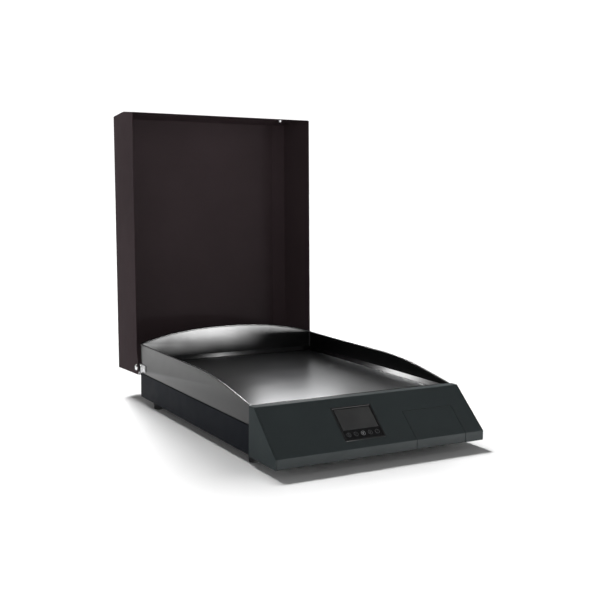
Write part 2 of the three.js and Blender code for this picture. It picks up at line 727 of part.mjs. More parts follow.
// What shapes the ridge across the lid's upper end, for a surface lowered by `inset`.
function noseCut(inset) {
  const { depth, rise, fall } = LID_NOSE;
  const before = LID_EDGE - 2;
  const ridge = LID_EDGE + depth;
  const beyond = LID_EDGE + LID_FLANGE + LID_BEVEL.depth + 10;
  const level = LID_ABOVE - inset;
  const risePerMm = rise / depth;
  const fallPerMm = fall / (LID_FLANGE + LID_BEVEL.depth - depth);
  const high = LID_ABOVE + rise + 20;
  const beyondLevel = level + rise - fallPerMm * (beyond - ridge);
  const shape = outline([
    [before, level - 2 * risePerMm], [ridge, level + rise], [beyond, beyondLevel],
    [beyond, high], [before, high],
  ]);
  return prismX(shape, -lidHalf - 5, lidHalf + 5);
}

// The ear that carries the pivot hole on each side flange.
function lidEar(side) {
  const shape = outline([[LID_EDGE + 1, 45], [-7.5, 2], [-7, -LID_BELOW], [LID_EDGE + 1, -LID_BELOW]]);
  return sidePrism(side, shape, lidHalf - LID_SHEET, lidHalf);
}

function lidShell() {
  const blank = LID_ABOVE + LID_NOSE.rise + 1;
  const outer = cut(prismZ(lidSection(0), -LID_BELOW, blank), noseCut(0));
  const inner = cut(prismZ(lidSection(LID_SHEET), -LID_BELOW - 2, blank), noseCut(LID_SHEET));
  const ears = SIDES.map(([, side]) => lidEar(side));
  const holes = SIDES.map(([, side]) => rodX(3.2, side * (lidHalf - 3), side * (lidHalf + 1), 0, 0, 24));
  return cut(join(cut(outer, inner), ...ears), ...holes);
}

// A buffer under the lid's upper end. The sheet rises away from it, so it starts at the sheet's lowest level.
function lidStud() {
  const { x, depth, radius, neck, head, length } = STUD;
  const top = LID_ABOVE - LID_SHEET - FIT_GAP;
  const cap = rodZ(radius, top - head, top, x, depth, 18);
  return join(cap, rodZ(neck, top - length, top - head + 0.1, x, depth, 18));
}

// ---- Assembly ----

const griddle = new THREE.Group();

add(griddle, 'base_pan', basePan(), CASING_PAINT);
for (const [sideName, side] of SIDES) {
  const [frontRow, rearRow] = FOOT_ROWS;
  add(griddle, `foot_front_${sideName}`, foot(side * FOOT_X, frontRow), RUBBER);
  add(griddle, `foot_rear_${sideName}`, foot(side * FOOT_X, rearRow), RUBBER);
  add(griddle, `plate_post_front_${sideName}`, platePost(side * POST.x, POST.rows[0]), GALVANISED);
  add(griddle, `plate_post_rear_${sideName}`, platePost(side * POST.x, POST.rows[1]), GALVANISED);
}
add(griddle, 'seal_strip', sealStrip(), RUBBER);
add(griddle, 'splash_guard', splashGuard(), ENAMEL);
add(griddle, 'cooking_plate', cookingPlate(), POLISHED_STEEL);
add(griddle, 'drain_chute', drainChute(), STAINLESS);

for (const [sideName, side] of SIDES) {
  add(griddle, `heating_element_${sideName}`, heatingElement(side), STAINLESS);
}
add(griddle, 'element_clamp_plate', bedLayer(74, 75.9), ALUMINIUM);
add(griddle, 'insulation_blanket', bedLayer(62, 73.7), MINERAL_WOOL);
add(griddle, 'heat_shield', heatShield(), GALVANISED);
add(griddle, 'thermostat_probe', thermostatProbe(), STAINLESS);
add(griddle, 'safety_cutout', safetyCutout(), CERAMIC);

add(griddle, 'mains_inlet', mainsInlet(), BLACK_PLASTIC);
add(griddle, 'inlet_pin_live', inletPin(-7, -2), STAINLESS);
add(griddle, 'inlet_pin_neutral', inletPin(7, -2), STAINLESS);
add(griddle, 'inlet_pin_earth', inletPin(0, 2), STAINLESS);
add(griddle, 'terminal_block', terminalBlock(), CERAMIC);
add(griddle, 'power_board', powerBoard(), BOARD_GREEN);
add(griddle, 'heat_sink', heatSink(), ALUMINIUM);
const INLET_LEAD = [[150, 532, 34], [150, 526, 31], [150, 520, 28]];
add(griddle, 'inlet_lead', tube(INLET_LEAD, 3, 6), CABLE);
const MAINS_LEAD = [
  [150, 494, 24], [138, 470, 21], [60, 380, 20.5], [-60, 250, 20.5], [-122, 150, 22], [-132, 118, 26],
];
add(griddle, 'mains_lead', tube(MAINS_LEAD, 3.4, 24), CABLE);
const LEFT_LEAD = [[-35, 59.6, 80.4], [-35, 47, 79], [-42, 40, 66], [-62, 38, 46], [-78, 42, 31]];
add(griddle, 'element_lead_left', tube(LEFT_LEAD, 1.8, 14), CABLE);
const RIGHT_LEAD = [
  [35, 59.6, 80.4], [35, 47, 79], [24, 40, 62], [-20, 36, 44], [-60, 54, 32], [-78, 68, 31],
];
add(griddle, 'element_lead_right', tube(RIGHT_LEAD, 1.8, 16), CABLE);
const SIGNAL_LEAD = [[-56, -30.5, 52], [-50, -15, 42], [-40, 5, 36], [-52, 22, 30], [-74.6, 29, 26]];
add(griddle, 'signal_cable', tube(SIGNAL_LEAD, 1.6, 12), CABLE);

add(griddle, 'front_housing', frontHousing(), HOUSING_PAINT);
for (const [sideName, side] of SIDES) {
  const cap = sidePrism(side, housingOutline(), housingHalf - END_CAP, housingHalf);
  add(griddle, `end_cap_${sideName}`, cap, HOUSING_PAINT);
}

const display = new THREE.Group();
const displayCentre = slopePoint(DISPLAY.down);
display.position.set(DISPLAY.x, displayCentre[0], displayCentre[1]);
display.rotation.x = slopeAngle;
griddle.add(display);
add(display, 'display_bezel', displayBezel(), BLACK_PLASTIC);
add(display, 'display_glass', displayGlass(), GLASS);
add(display, 'lcd_module', lcdModule(), GALVANISED);
add(display, 'control_board', controlBoard(), BOARD_GREEN);

add(griddle, 'drawer_front', drawerFront(), HOUSING_PAINT);
add(griddle, 'drawer_bracket', drawerBracket(), GALVANISED);
add(griddle, 'grease_tray', greaseTray(), STAINLESS);
for (const [sideName, side] of SIDES) {
  add(griddle, `drawer_rail_${sideName}`, drawerRail(side), GALVANISED);
}

for (const [sideName, side] of SIDES) {
  add(griddle, `hinge_bracket_${sideName}`, hingeBracket(side), STAINLESS);
  add(griddle, `pivot_bolt_${sideName}`, pivotBolt(side), STAINLESS);
  add(griddle, `pivot_nut_${sideName}`, pivotNut(side), STAINLESS);
  add(griddle, `hinge_washer_${sideName}`, hingeWasher(side), BLACK_PLASTIC);
  BRACKET_SCREWS.forEach(([y, z], i) => {
    add(griddle, `bracket_screw_${sideName}_${i + 1}`, bracketScrew(side, y, z), STAINLESS);
  });
}

const lid = new THREE.Group();
lid.position.set(0, PIVOT_Y, pivotZ);
lid.rotation.x = THREE.MathUtils.degToRad(-LID_TILT);
griddle.add(lid);
add(lid, 'lid_shell', lidShell(), LID_PAINT);
add(lid, 'lid_stud', lidStud(), STAINLESS);

// Centre the whole along Y.
griddle.updateMatrixWorld(true);
const bounds = new THREE.Box3().setFromObject(griddle, true);
griddle.position.y = -(bounds.min.y + bounds.max.y) / 2;

export default griddle;
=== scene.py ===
import json
import math

import bmesh
import bpy
from mathutils import Euler, Matrix, Vector


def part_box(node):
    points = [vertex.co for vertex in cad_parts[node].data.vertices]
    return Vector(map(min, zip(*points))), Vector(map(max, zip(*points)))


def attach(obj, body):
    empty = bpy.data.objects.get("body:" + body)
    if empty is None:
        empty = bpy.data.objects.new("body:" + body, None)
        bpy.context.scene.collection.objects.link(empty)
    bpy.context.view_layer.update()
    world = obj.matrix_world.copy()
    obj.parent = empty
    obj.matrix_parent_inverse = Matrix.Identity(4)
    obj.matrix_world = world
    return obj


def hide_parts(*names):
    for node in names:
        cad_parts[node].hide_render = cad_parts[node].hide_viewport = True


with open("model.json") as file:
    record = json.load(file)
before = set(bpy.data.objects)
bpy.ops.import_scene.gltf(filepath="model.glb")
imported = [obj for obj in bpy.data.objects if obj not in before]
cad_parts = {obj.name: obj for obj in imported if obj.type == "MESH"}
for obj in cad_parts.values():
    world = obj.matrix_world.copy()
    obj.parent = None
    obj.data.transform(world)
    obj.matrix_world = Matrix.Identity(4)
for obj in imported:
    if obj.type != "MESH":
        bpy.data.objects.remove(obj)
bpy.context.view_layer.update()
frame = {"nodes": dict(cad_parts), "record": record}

# ---- Design dimensions, millimetres ----

MM = 0.001
HOUSING_LOW, HOUSING_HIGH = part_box("front_housing")
ROW = Matrix.Translation((0, HOUSING_HIGH.y, 0)) @ Matrix.Scale(MM, 4)

FOOT_HEIGHT = 15
HOUSING_TOP = HOUSING_HIGH.z / MM
HOUSING_DEPTH = (HOUSING_HIGH.y - HOUSING_LOW.y) / MM
HOUSING_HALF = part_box("end_cap_right")[1].x / MM
HOUSING_FLAT = 18.4
HOUSING_BEND = 2.6
LIP_TOP = 33.6
SHEET = 2
END_CAP = 2.7
GAP = 0.3

CASING_HALF = 221.5
CASING_FRONT, CASING_REAR = 1, 554
CASING_LOW, CASING_TOP = 15, 69.5
CASING_SHEET = 1.5
CASING_FLANGE = 10

GUARD_HALF = 222
GUARD_FRONT, GUARD_REAR = 1, 555
GUARD_LOW = 71.5
GUARD_SHEET = 2
GUARD_CORNER = 5
SIDE_TOP, ARCH_TOP = 136, 165.5
RISE_END = 235
RIM = 2
RIM_COVER = RIM * 0.8
CORNER_STRIP = 7.5

PLATE_TOP, PLATE_LOW = 93, 85
PLATE_HALF, PLATE_FRONT, PLATE_REAR = 212, 11, 545
DRAIN_X, DRAIN_Y, DRAIN_LENGTH, DRAIN_WIDTH = 126, 24, 60, 14
GUTTER_HALF_LENGTH, GUTTER_DEPTH = 200, 3

PIVOT_Y, PIVOT_Z = 562.5, 81
LID_HALF, LID_SHEET = 226.8, 1.5
LID_BELOW, LID_ABOVE = 16, 572
LID_EDGE, LID_FLANGE = 1, 126
LID_BEVEL_WIDTH, LID_BEVEL_DEPTH = 27.5, 18
LID_RIDGE_DEPTH, LID_RIDGE_RISE, LID_RIDGE_FALL, LID_RIDGE_BEND = 61, 6.5, 6.5, 7
LID_TILT = math.radians(2)
STUD_X, STUD_DEPTH, STUD_LENGTH = 151, 10, 5

DISPLAY_X, DISPLAY_WIDTH, DISPLAY_HEIGHT, DISPLAY_DOWN = -34, 86, 74, 57.2
DRAWER_LEFT, DRAWER_RIGHT, DRAWER_TOP, DRAWER_SHEET = 69, 183, 45, 3
FOOT_X, FOOT_ROWS = 207, (("front", 14), ("rear", 482))
INLET_X, INLET_Z = 150, 38
VENT_FIRST, VENT_PITCH, VENT_COUNT = -160, 9, 9
VENT_WIDTH, VENT_LOW, VENT_HIGH = 3, 30, 56
BRACKET_SHEET = 1.5
BRACKET_SCREWS = ((528, 83), (544, 83))
SCREW_HOLE, PIVOT_HOLE = 2.2, 3.3

slope_angle = math.atan2(HOUSING_TOP - LIP_TOP, HOUSING_DEPTH - HOUSING_FLAT)
slope_length = math.hypot(HOUSING_TOP - LIP_TOP, HOUSING_DEPTH - HOUSING_FLAT)
SIDES = (("left", -1), ("right", 1))

# ---- Materials ----


class Nodes:
    """A small wrapper that adds shader nodes and links them."""

    def __init__(self, name):
        self.material = bpy.data.materials.new(name)
        self.material.use_nodes = True
        self.tree = self.material.node_tree
        self.shader = self.tree.nodes["Principled BSDF"]
        self.place = self.add("ShaderNodeTexCoord").outputs["Object"]

    def add(self, kind, inputs=None, **settings):
        """A new node with its settings and its inputs, which are values or other nodes' outputs."""
        node = self.tree.nodes.new(kind)
        for key, value in settings.items():
            setattr(node, key, value)
        for key, value in (inputs or {}).items():
            self.link(value, node.inputs[key])
        return node

    def link(self, value, socket):
        """Feeds a socket from another node, or sets its own value."""
        if isinstance(value, bpy.types.NodeSocket):
            self.tree.links.new(value, socket)
        else:
            socket.default_value = value

    def stretched(self, scale):
        """Object coordinates squeezed by a different factor along each axis."""
        mapping = self.add("ShaderNodeMapping", {"Vector": self.place, "Scale": scale})
        return mapping.outputs["Vector"]

    def noise(self, scale, detail=3.0, roughness=0.5, where=None):
        """Fractal noise in metres of the object's own space; scale is in lumps per metre."""
        inputs = {"Vector": where or self.place, "Scale": scale, "Detail": detail, "Roughness": roughness}
        return self.add("ShaderNodeTexNoise", inputs).outputs["Fac"]

    def ranged(self, value, low, high, from_low=0.3, from_high=0.7):
        """A value spread from one range, by default the middle of a noise, to another."""
        inputs = {"Value": value, "From Min": from_low, "From Max": from_high, "To Min": low, "To Max": high}
        return self.add("ShaderNodeMapRange", inputs).outputs["Result"]

    def mix(self, factor, first, second):
        """A blend of two colours; the numbered sockets are the colour version's factor, A and B."""
        node = self.add("ShaderNodeMix", data_type="RGBA")
        self.link(factor, node.inputs[0])
        self.link(first, node.inputs[6])
        self.link(second, node.inputs[7])
        return node.outputs[2]

    def bump(self, height, distance, strength=1.0, under=None):
        """A bumpy normal, laid over another one where there is one underneath."""
        inputs = {"Height": height, "Distance": distance, "Strength": strength}
        if under is not None:
            inputs["Normal"] = under
        return self.add("ShaderNodeBump", inputs).outputs["Normal"]

    def set(self, **values):
        """Sets or links the named inputs of the shader and gives the finished material."""
        names = {
            "colour": "Base Color", "roughness": "Roughness", "metallic": "Metallic", "normal": "Normal",
            "specular": "Specular IOR Level", "coat": "Coat Weight", "coat_roughness": "Coat Roughness",
            "sheen": "Sheen Weight",
        }
        for key, value in values.items():
            self.link(value, self.shader.inputs[names[key]])
        return self.material


def rgb(r, g, b):
    """An opaque linear colour."""
    return (r, g, b, 1.0)


def shade(colour, factor):
    """A colour made lighter or darker."""
    return rgb(*(min(1.0, c * factor) for c in colour[:3]))


def powder_coat(name, colour, roughness, specular):
    """Powder-coated sheet: fine orange peel, faint clouding, slightly duller where the film is thicker."""
    n = Nodes(name)
    cloud = n.noise(7, 4)
    speck = n.noise(1100, 2)
    tint = n.mix(n.ranged(cloud, 0, 1), shade(colour, 0.94), shade(colour, 1.07))
    tint = n.mix(n.ranged(speck, 0, 0.35, 0.55, 0.8), tint, shade(colour, 1.7))
    rough = n.ranged(n.noise(35, 3), roughness - 0.025, roughness + 0.03)
    peel = n.bump(n.noise(260, 2), 0.00012, 0.35)
    return n.set(colour=tint, roughness=rough, specular=specular, normal=n.bump(speck, 0.00004, 0.55, peel))


def vitreous_enamel(name):
    """Black enamel on steel: glossy, with a slow ripple and scattered pin specks."""
    n = Nodes(name)
    cloud = n.noise(9, 3)
    base = n.mix(n.ranged(cloud, 0, 1), rgb(0.0018, 0.0019, 0.0021), rgb(0.0028, 0.0029, 0.0031))
    speck = n.ranged(n.noise(1500, 1), 0, 0.5, 0.72, 0.82)
    base = n.mix(speck, base, rgb(0.03, 0.031, 0.033))
    ripple = n.bump(n.noise(55, 2), 0.0003, 0.05)
    peel = n.bump(n.noise(420, 2), 0.00005, 0.1, ripple)
    rough = n.ranged(n.noise(28, 4), 0.2, 0.25)
    return n.set(colour=base, roughness=rough, specular=0.36, normal=peel)


def cooking_surface(name):
    """Polished black plate: fine polishing lines across it and slightly clouded, seasoned patches."""
    n = Nodes(name)
    lines = n.noise(1.0, 5, 0.6, n.stretched((60, 2600, 400)))
    cloud = n.noise(13, 5, 0.6)
    base = n.mix(n.ranged(cloud, 0, 1), rgb(0.064, 0.066, 0.07), rgb(0.084, 0.085, 0.088))
    rough = n.ranged(cloud, 0.285, 0.32)
    fine = n.bump(lines, 0.00002, 0.18)
    uneven = n.bump(cloud, 0.0004, 0.015, fine)
    return n.set(colour=base, roughness=rough, metallic=0.9, specular=0.4, normal=uneven)


def brushed_metal(name, colour, roughness, stretch, depth=0.00002):
    """Bare metal with fine lines; the largest factors in stretch run across them."""
    n = Nodes(name)
    lines = n.noise(1.0, 4, 0.65, n.stretched(stretch))
    smudge = n.noise(24, 4)
    tint = n.mix(n.ranged(lines, 0, 1), shade(colour, 0.86), shade(colour, 1.06))
    rough = n.ranged(smudge, roughness - 0.03, roughness + 0.05)
    return n.set(colour=tint, roughness=rough, metallic=1.0, normal=n.bump(lines, depth, 0.3))


def zinc(name):
    """Zinc-plated sheet with a soft spangle of crystals."""
    n = Nodes(name)
    crystals = n.add("ShaderNodeTexVoronoi", {"Vector": n.place, "Scale": 160.0})
    grey = n.ranged(crystals.outputs["Color"], 0.0, 1.0, 0.0, 1.0)
    tint = n.mix(grey, rgb(0.34, 0.36, 0.38), rgb(0.5, 0.52, 0.54))
    rough = n.ranged(grey, 0.36, 0.52, 0.0, 1.0)
    return n.set(colour=tint, roughness=rough, metallic=0.9, normal=n.bump(n.noise(300, 3), 0.00003, 0.4))


def moulded(name, colour, roughness, grain=900, depth=0.00006, mottle=0.12):
    """Moulded rubber or plastic with a spark-eroded grain."""
    n = Nodes(name)
    cloud = n.ranged(n.noise(40, 3), 0, 1)
    tint = n.mix(cloud, shade(colour, 1 - mottle), shade(colour, 1 + mottle))
    rough = n.ranged(n.noise(120, 3), roughness - 0.05, roughness + 0.06)
    return n.set(colour=tint, roughness=rough, specular=0.35, normal=n.bump(n.noise(grain, 2), depth, 0.6))


def circuit_green(name):
    """Solder mask with rows of lighter copper tracks."""
    n = Nodes(name)
    tracks = n.add("ShaderNodeTexBrick", {
        "Vector": n.place, "Scale": 120.0, "Mortar Size": 0.06, "Color1": rgb(0.012, 0.1, 0.045),
        "Color2": rgb(0.016, 0.13, 0.06), "Mortar": rgb(0.05, 0.27, 0.12)})
    height = n.noise(500, 2)
    rough = n.ranged(height, 0.32, 0.45)
    return n.set(colour=tracks.outputs["Color"], roughness=rough, normal=n.bump(height, 0.00003))


def fibres(name):
    """Mineral wool: matted strands that run mostly one way."""
    n = Nodes(name)
    strands = n.noise(1.0, 6, 0.7, n.stretched((700, 90, 700)))
    tint = n.mix(n.ranged(strands, 0, 1), rgb(0.42, 0.34, 0.19), rgb(0.74, 0.66, 0.45))
    matted = n.bump(strands, 0.001, 0.8)
    return n.set(colour=tint, roughness=0.95, specular=0.1, sheen=0.3, normal=matted)


def glass_black(name):
    """Black-backed cover glass: near mirror smooth, with a faint film of fingerprints in its gloss."""
    n = Nodes(name)
    film = n.noise(60, 5, 0.7)
    base = n.mix(n.ranged(film, 0, 1), rgb(0.004, 0.004, 0.005), rgb(0.008, 0.008, 0.009))
    rough = n.ranged(film, 0.06, 0.2)
    return n.set(colour=base, roughness=rough, specular=0.5, coat=0.4, coat_roughness=0.03)


def screen_face(name):
    """The switched-off screen: dark grey liquid crystal behind glass, with a fine pixel grid and a painted
    glow, lighter grey in broad soft patches.
    """
    n = Nodes(name)
    grid = n.add("ShaderNodeTexBrick", {
        "Vector": n.place, "Scale": 2400.0, "Mortar Size": 0.05, "Color1": rgb(0.064, 0.065, 0.065),
        "Color2": rgb(0.07, 0.071, 0.071), "Mortar": rgb(0.045, 0.045, 0.046)})
    # painted glow: lighter grey mixed over the pixel grid in broad soft patches, on a screen that is switched
    # off
    painted_glow = n.mix(n.ranged(n.noise(18, 2), 0, 0.5), grid.outputs["Color"], rgb(0.086, 0.085, 0.086))
    return n.set(colour=painted_glow, roughness=n.ranged(n.noise(60, 5), 0.1, 0.25), specular=0.4, coat=0.3,
                 coat_roughness=0.05)


def printed(name, colour):
    """Flat printing ink."""
    n = Nodes(name)
    grain = n.noise(1800, 2)
    tint = n.mix(n.ranged(grain, 0, 1), shade(colour, 0.85), shade(colour, 1.1))
    return n.set(colour=tint, roughness=0.45, normal=n.bump(grain, 0.00001, 0.4))


FINISH = {
    "lid_paint": powder_coat("lid_paint", rgb(0.043, 0.0305, 0.0333), 0.6, 0.014),
    "housing_paint": powder_coat("housing_paint", rgb(0.034, 0.043, 0.0448), 0.64, 0.09),
    "casing_paint": powder_coat("casing_paint", rgb(0.005, 0.0068, 0.0108), 0.6, 0.06),
    "enamel": vitreous_enamel("enamel"),
    "plate_steel": cooking_surface("plate_steel"),
    "stainless": brushed_metal("stainless", rgb(0.62, 0.62, 0.63), 0.26, (60, 1500, 1500)),
    "galvanised": zinc("galvanised"),
    "aluminium": brushed_metal("aluminium", rgb(0.58, 0.59, 0.6), 0.42, (1200, 120, 1200)),
    "foot_rubber": moulded("foot_rubber", rgb(0.012, 0.012, 0.013), 0.72),
    "black_plastic": moulded("black_plastic", rgb(0.01, 0.01, 0.011), 0.42, 1300, 0.00004),
    "display_glass": glass_black("display_glass"),
    "circuit_board": circuit_green("circuit_board"),
    "ceramic": moulded("ceramic", rgb(0.66, 0.62, 0.53), 0.5, 500, 0.00005, 0.06),
    "mineral_wool": fibres("mineral_wool"),
    "cable_sheath": moulded("cable_sheath", rgb(0.25, 0.035, 0.025), 0.48, 700, 0.00003),
}
CHROME = brushed_metal("bright_plating", rgb(0.86, 0.86, 0.87), 0.12, (300, 300, 300), 0.00001)
SCREEN = screen_face("screen_face")
PRINT = printed("icon_print", rgb(0.09, 0.093, 0.096))
PRINT_BRIGHT = printed("icon_print_bright", rgb(0.4, 0.41, 0.42))

# ---- Mesh helpers, millimetres ----

CRISP_TURN = math.radians(38)  # faces that meet at more than this form an edge, at less they shade as one


def fillet(points, radius, steps=5):
    """An outline whose corners are rounded: one radius for all, or one for each corner."""
    radii = radius if isinstance(radius, (list, tuple)) else [radius] * len(points)
    out = []
    for i, corner in enumerate(points):
        p = Vector(corner)
        if radii[i] <= 0:
            out.append(tuple(p))
            continue
        a = (Vector(points[i - 1]) - p).normalized()
        b = (Vector(points[(i + 1) % len(points)]) - p).normalized()
        half = a.angle(b) / 2
        centre = p + (a + b).normalized() * radii[i] / math.sin(half)
        start = p + a * radii[i] / math.tan(half) - centre
        end = p + b * radii[i] / math.tan(half) - centre
        turn = start.angle_signed(end)
        for k in range(steps + 1):
            c, s = math.cos(-turn * k / steps), math.sin(-turn * k / steps)
            out.append((centre.x + start.x * c - start.y * s, centre.y + start.x * s + start.y * c))
    return out


def rectangle(x0, x1, y0, y1):
    """The corners of a rectangle, anticlockwise."""
    return [(x0, y0), (x1, y0), (x1, y1), (x0, y1)]


AXES = {"X": lambda u, v, w: (w, u, v), "Y": lambda u, v, w: (u, w, v), "Z": lambda u, v, w: (u, v, w)}


def prism(outline, axis, a, b):
    """A closed prism along an axis; the outline is (y, z) for X, (x, z) for Y and (x, y) for Z."""
    bm = bmesh.new()
    rings = [[bm.verts.new(AXES[axis](u, v, w)) for u, v in outline] for w in (a, b)]
    count = len(outline)
    bm.faces.new(rings[0])
    bm.faces.new(rings[1])
    for i in range(count):
        j = (i + 1) % count
        bm.faces.new((rings[0][i], rings[0][j], rings[1][j], rings[1][i]))
    bmesh.ops.recalc_face_normals(bm, faces=bm.faces)
    return bm


def block(x0, x1, y0, y1, z0, z1):
    """A box between two corners."""
    return prism(rectangle(x0, x1, y0, y1), "Z", z0, z1)


def frustum(bottom, top, z0, z1):
    """A tapered block; each rectangle is (half width, y0, y1)."""
    bm = block(-1, 1, 0, 1, 0, 1)
    for v in bm.verts:
        half, y0, y1 = top if v.co.z > 0.5 else bottom
        v.co = (v.co.x * half, y1 if v.co.y > 0.5 else y0, z1 if v.co.z > 0.5 else z0)
    return bm


def lathe(profile, steps=40, matrix=None):
    """A body of revolution about Z. The profile runs (radius, height); radius 0 closes an end."""
    bm = bmesh.new()
    rings = []
    for r, h in profile:
        if r == 0:
            rings.append([bm.verts.new((0, 0, h))])
        else:
            turns = [2 * math.pi * k / steps for k in range(steps)]
            rings.append([bm.verts.new((r * math.cos(t), r * math.sin(t), h)) for t in turns])
    closed = profile[0][0] != 0
    pairs = list(zip(rings, rings[1:])) + ([(rings[-1], rings[0])] if closed else [])
    for low, high in pairs:
        for k in range(steps):
            j = (k + 1) % steps
            if len(low) == 1:
                bm.faces.new((low[0], high[k], high[j]))
            elif len(high) == 1:
                bm.faces.new((low[k], low[j], high[0]))
            else:
                bm.faces.new((low[k], low[j], high[j], high[k]))
    bmesh.ops.recalc_face_normals(bm, faces=bm.faces)
    if matrix is not None:
        bm.transform(matrix)
    return bm


def along_x(side, x, y, z):
    """Turns something made along Z so that it points outwards along X from a point."""
    return Matrix.Translation((x, y, z)) @ Matrix.Rotation(side * math.pi / 2, 4, "Y")


def rod(radius, start, end, steps=24):
    """A round bar between two points."""
    a, b = Vector(start), Vector(end)
    length = (b - a).length
    turn = (b - a).to_track_quat("Z", "Y").to_matrix().to_4x4()
    return lathe([(0, 0), (radius, 0), (radius, length), (0, length)], steps, Matrix.Translation(a) @ turn)


def bead(path, radius, sides=14):
    """A round bead along a path, with flat ends."""
    bm = bmesh.new()
    points = [Vector(p) for p in path]
    rings = []
    across = None
    for i, p in enumerate(points):
        ahead = (points[min(i + 1, len(points) - 1)] - points[max(i - 1, 0)]).normalized()
        if across is None:
            across = ahead.orthogonal().normalized()
        across = (across - ahead * across.dot(ahead)).normalized()
        other = ahead.cross(across)
        turns = [2 * math.pi * k / sides for k in range(sides)]
        rings.append([bm.verts.new(p + radius * (across * math.cos(t) + other * math.sin(t))) for t in turns])
    for low, high in zip(rings, rings[1:]):
        for k in range(sides):
            j = (k + 1) % sides
            bm.faces.new((low[k], low[j], high[j], high[k]))
    bm.faces.new(rings[0])
    bm.faces.new(rings[-1])
    bmesh.ops.recalc_face_normals(bm, faces=bm.faces)
    return bm


def temporary(bm):
    """A scene object that holds a mesh while a modifier works on it."""
    mesh = bpy.data.meshes.new("work")
    bm.to_mesh(mesh)
    bm.free()
    obj = bpy.data.objects.new("work", mesh)
    bpy.context.scene.collection.objects.link(obj)
    return obj


def combine(bm, tools, operation):
    """The solid joined with, or cut by, each tool in turn."""
    base = temporary(bm)
    helpers = [temporary(tool) for tool in tools]
    for helper in helpers:
        modifier = base.modifiers.new("step", "BOOLEAN")
        modifier.operation = operation
        modifier.solver = "EXACT"
        modifier.object = helper
    bpy.context.view_layer.update()
    evaluated = base.evaluated_get(bpy.context.evaluated_depsgraph_get())
    mesh = bpy.data.meshes.new_from_object(evaluated)
    out = bmesh.new()
    out.from_mesh(mesh)
    bpy.data.meshes.remove(mesh)
    for obj in [base, *helpers]:
        data = obj.data
        bpy.data.objects.remove(obj)
        bpy.data.meshes.remove(data)
    bmesh.ops.remove_doubles(out, verts=out.verts, dist=0.0005)
    bmesh.ops.dissolve_limit(out, angle_limit=math.radians(0.2), verts=out.verts, edges=out.edges)
    return out


def cut(bm, *tools):
    """The solid with each tool taken away."""
    return combine(bm, tools, "DIFFERENCE")


def join(bm, *tools):
    """The solid and the tools as one body."""
    return combine(bm, tools, "UNION")


def together(*parts):
    """Several separate shells in one mesh."""
    out = parts[0]
    for part in parts[1:]:
        mesh = bpy.data.meshes.new("work")
        part.to_mesh(mesh)
        part.free()
        out.from_mesh(mesh)
        bpy.data.meshes.remove(mesh)
    return out


def round_edges(bm, chosen, radius, segments=4):
    """Rounds the edges that the test picks; it is given an edge's two ends and its middle."""
    edges = [e for e in bm.edges if chosen(e.verts[0].co, e.verts[1].co, (e.verts[0].co + e.verts[1].co) / 2)]
    bmesh.ops.bevel(bm, geom=edges, offset=radius, segments=segments, profile=0.5, affect="EDGES",
                    clamp_overlap=True)
    return bm


def piece(name, bm, slot, body="base", nodes=(), place=None, soft=0.35, segments=2, finish=None):
    """Brings a mesh into the row frame as a shown piece, with a small bevel on its edges."""
    bm.transform(ROW @ place if place is not None else ROW)
    mesh = bpy.data.meshes.new(name)
    bm.to_mesh(mesh)
    bm.free()
    mesh.shade_smooth()
    mesh.set_sharp_from_angle(angle=CRISP_TURN)
    obj = bpy.data.objects.new(name, mesh)
    bpy.context.scene.collection.objects.link(obj)
    mesh.materials.append(finish or FINISH[slot])
    if soft:
        bevel = obj.modifiers.new("soft_edges", "BEVEL")
        bevel.width = soft * MM
        bevel.segments = segments
        bevel.limit_method = "ANGLE"
        bevel.angle_limit = CRISP_TURN
        bevel.harden_normals = True
        bevel.use_clamp_overlap = True
    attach(obj, body)
    if nodes:
        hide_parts(*nodes)
    return obj


# ---- Camera, light and floor ----

CAMERA_LENS, CAMERA_SENSOR = 58.372, 36
CAMERA_PLACE = Vector((-979.54, -1508.05, 492.66))
CAMERA_TURN = Euler([math.radians(angle) for angle in (83.337, -0.652, -29.504)])


def add_camera():
    """Looks from the front left, a little above the rim."""
    data = bpy.data.cameras.new("camera")
    data.lens = CAMERA_LENS
    data.sensor_width = CAMERA_SENSOR
    camera = bpy.data.objects.new("camera", data)
    camera.matrix_world = Matrix.Translation(ROW @ CAMERA_PLACE) @ CAMERA_TURN.to_matrix().to_4x4()
    bpy.context.scene.collection.objects.link(camera)
    bpy.context.scene.camera = camera


def place_light(data, name, place, target):
    """Stands a light somewhere, in metres, and points it at a target."""
    light = bpy.data.objects.new(name, data)
    light.location = place
    light.rotation_euler = (Vector(target) - Vector(place)).to_track_quat("-Z", "Y").to_euler()
    bpy.context.scene.collection.objects.link(light)
    return light


def add_sun(name, towards, spread, strength):
    """A distant light; `towards` points at it and `spread` is its width in degrees."""
    data = bpy.data.lights.new(name, "SUN")
    data.angle = math.radians(spread)
    data.energy = strength
    place_light(data, name, towards, (0, 0, 0))


def add_softbox(name, place, target, size, power, lights_paint=True):
    """A soft area light; without lights_paint it shows only as a gleam in glossy faces."""
    data = bpy.data.lights.new(name, "AREA")
    data.shape = "RECTANGLE"
    data.size, data.size_y = size
    data.energy = power
    light = place_light(data, name, place, target)
    light.visible_camera = False
    light.visible_diffuse = lights_paint


def add_floor():
    """A pale paper floor that reaches past the horizon."""
    mesh = bpy.data.meshes.new("studio_floor")
    reach = 60
    corners = [(-reach, -reach, 0), (reach, -reach, 0), (reach, reach, 0), (-reach, reach, 0)]
    mesh.from_pydata(corners, [], [(0, 1, 2, 3)])
    floor = bpy.data.objects.new("studio_floor", mesh)
    bpy.context.scene.collection.objects.link(floor)
    n = Nodes("studio_floor")
    paper = n.noise(3, 3)
    tint = n.mix(n.ranged(paper, 0, 1), rgb(0.94, 0.94, 0.94), rgb(0.96, 0.96, 0.96))
    mesh.materials.append(n.set(colour=tint, roughness=0.7, specular=0.1))


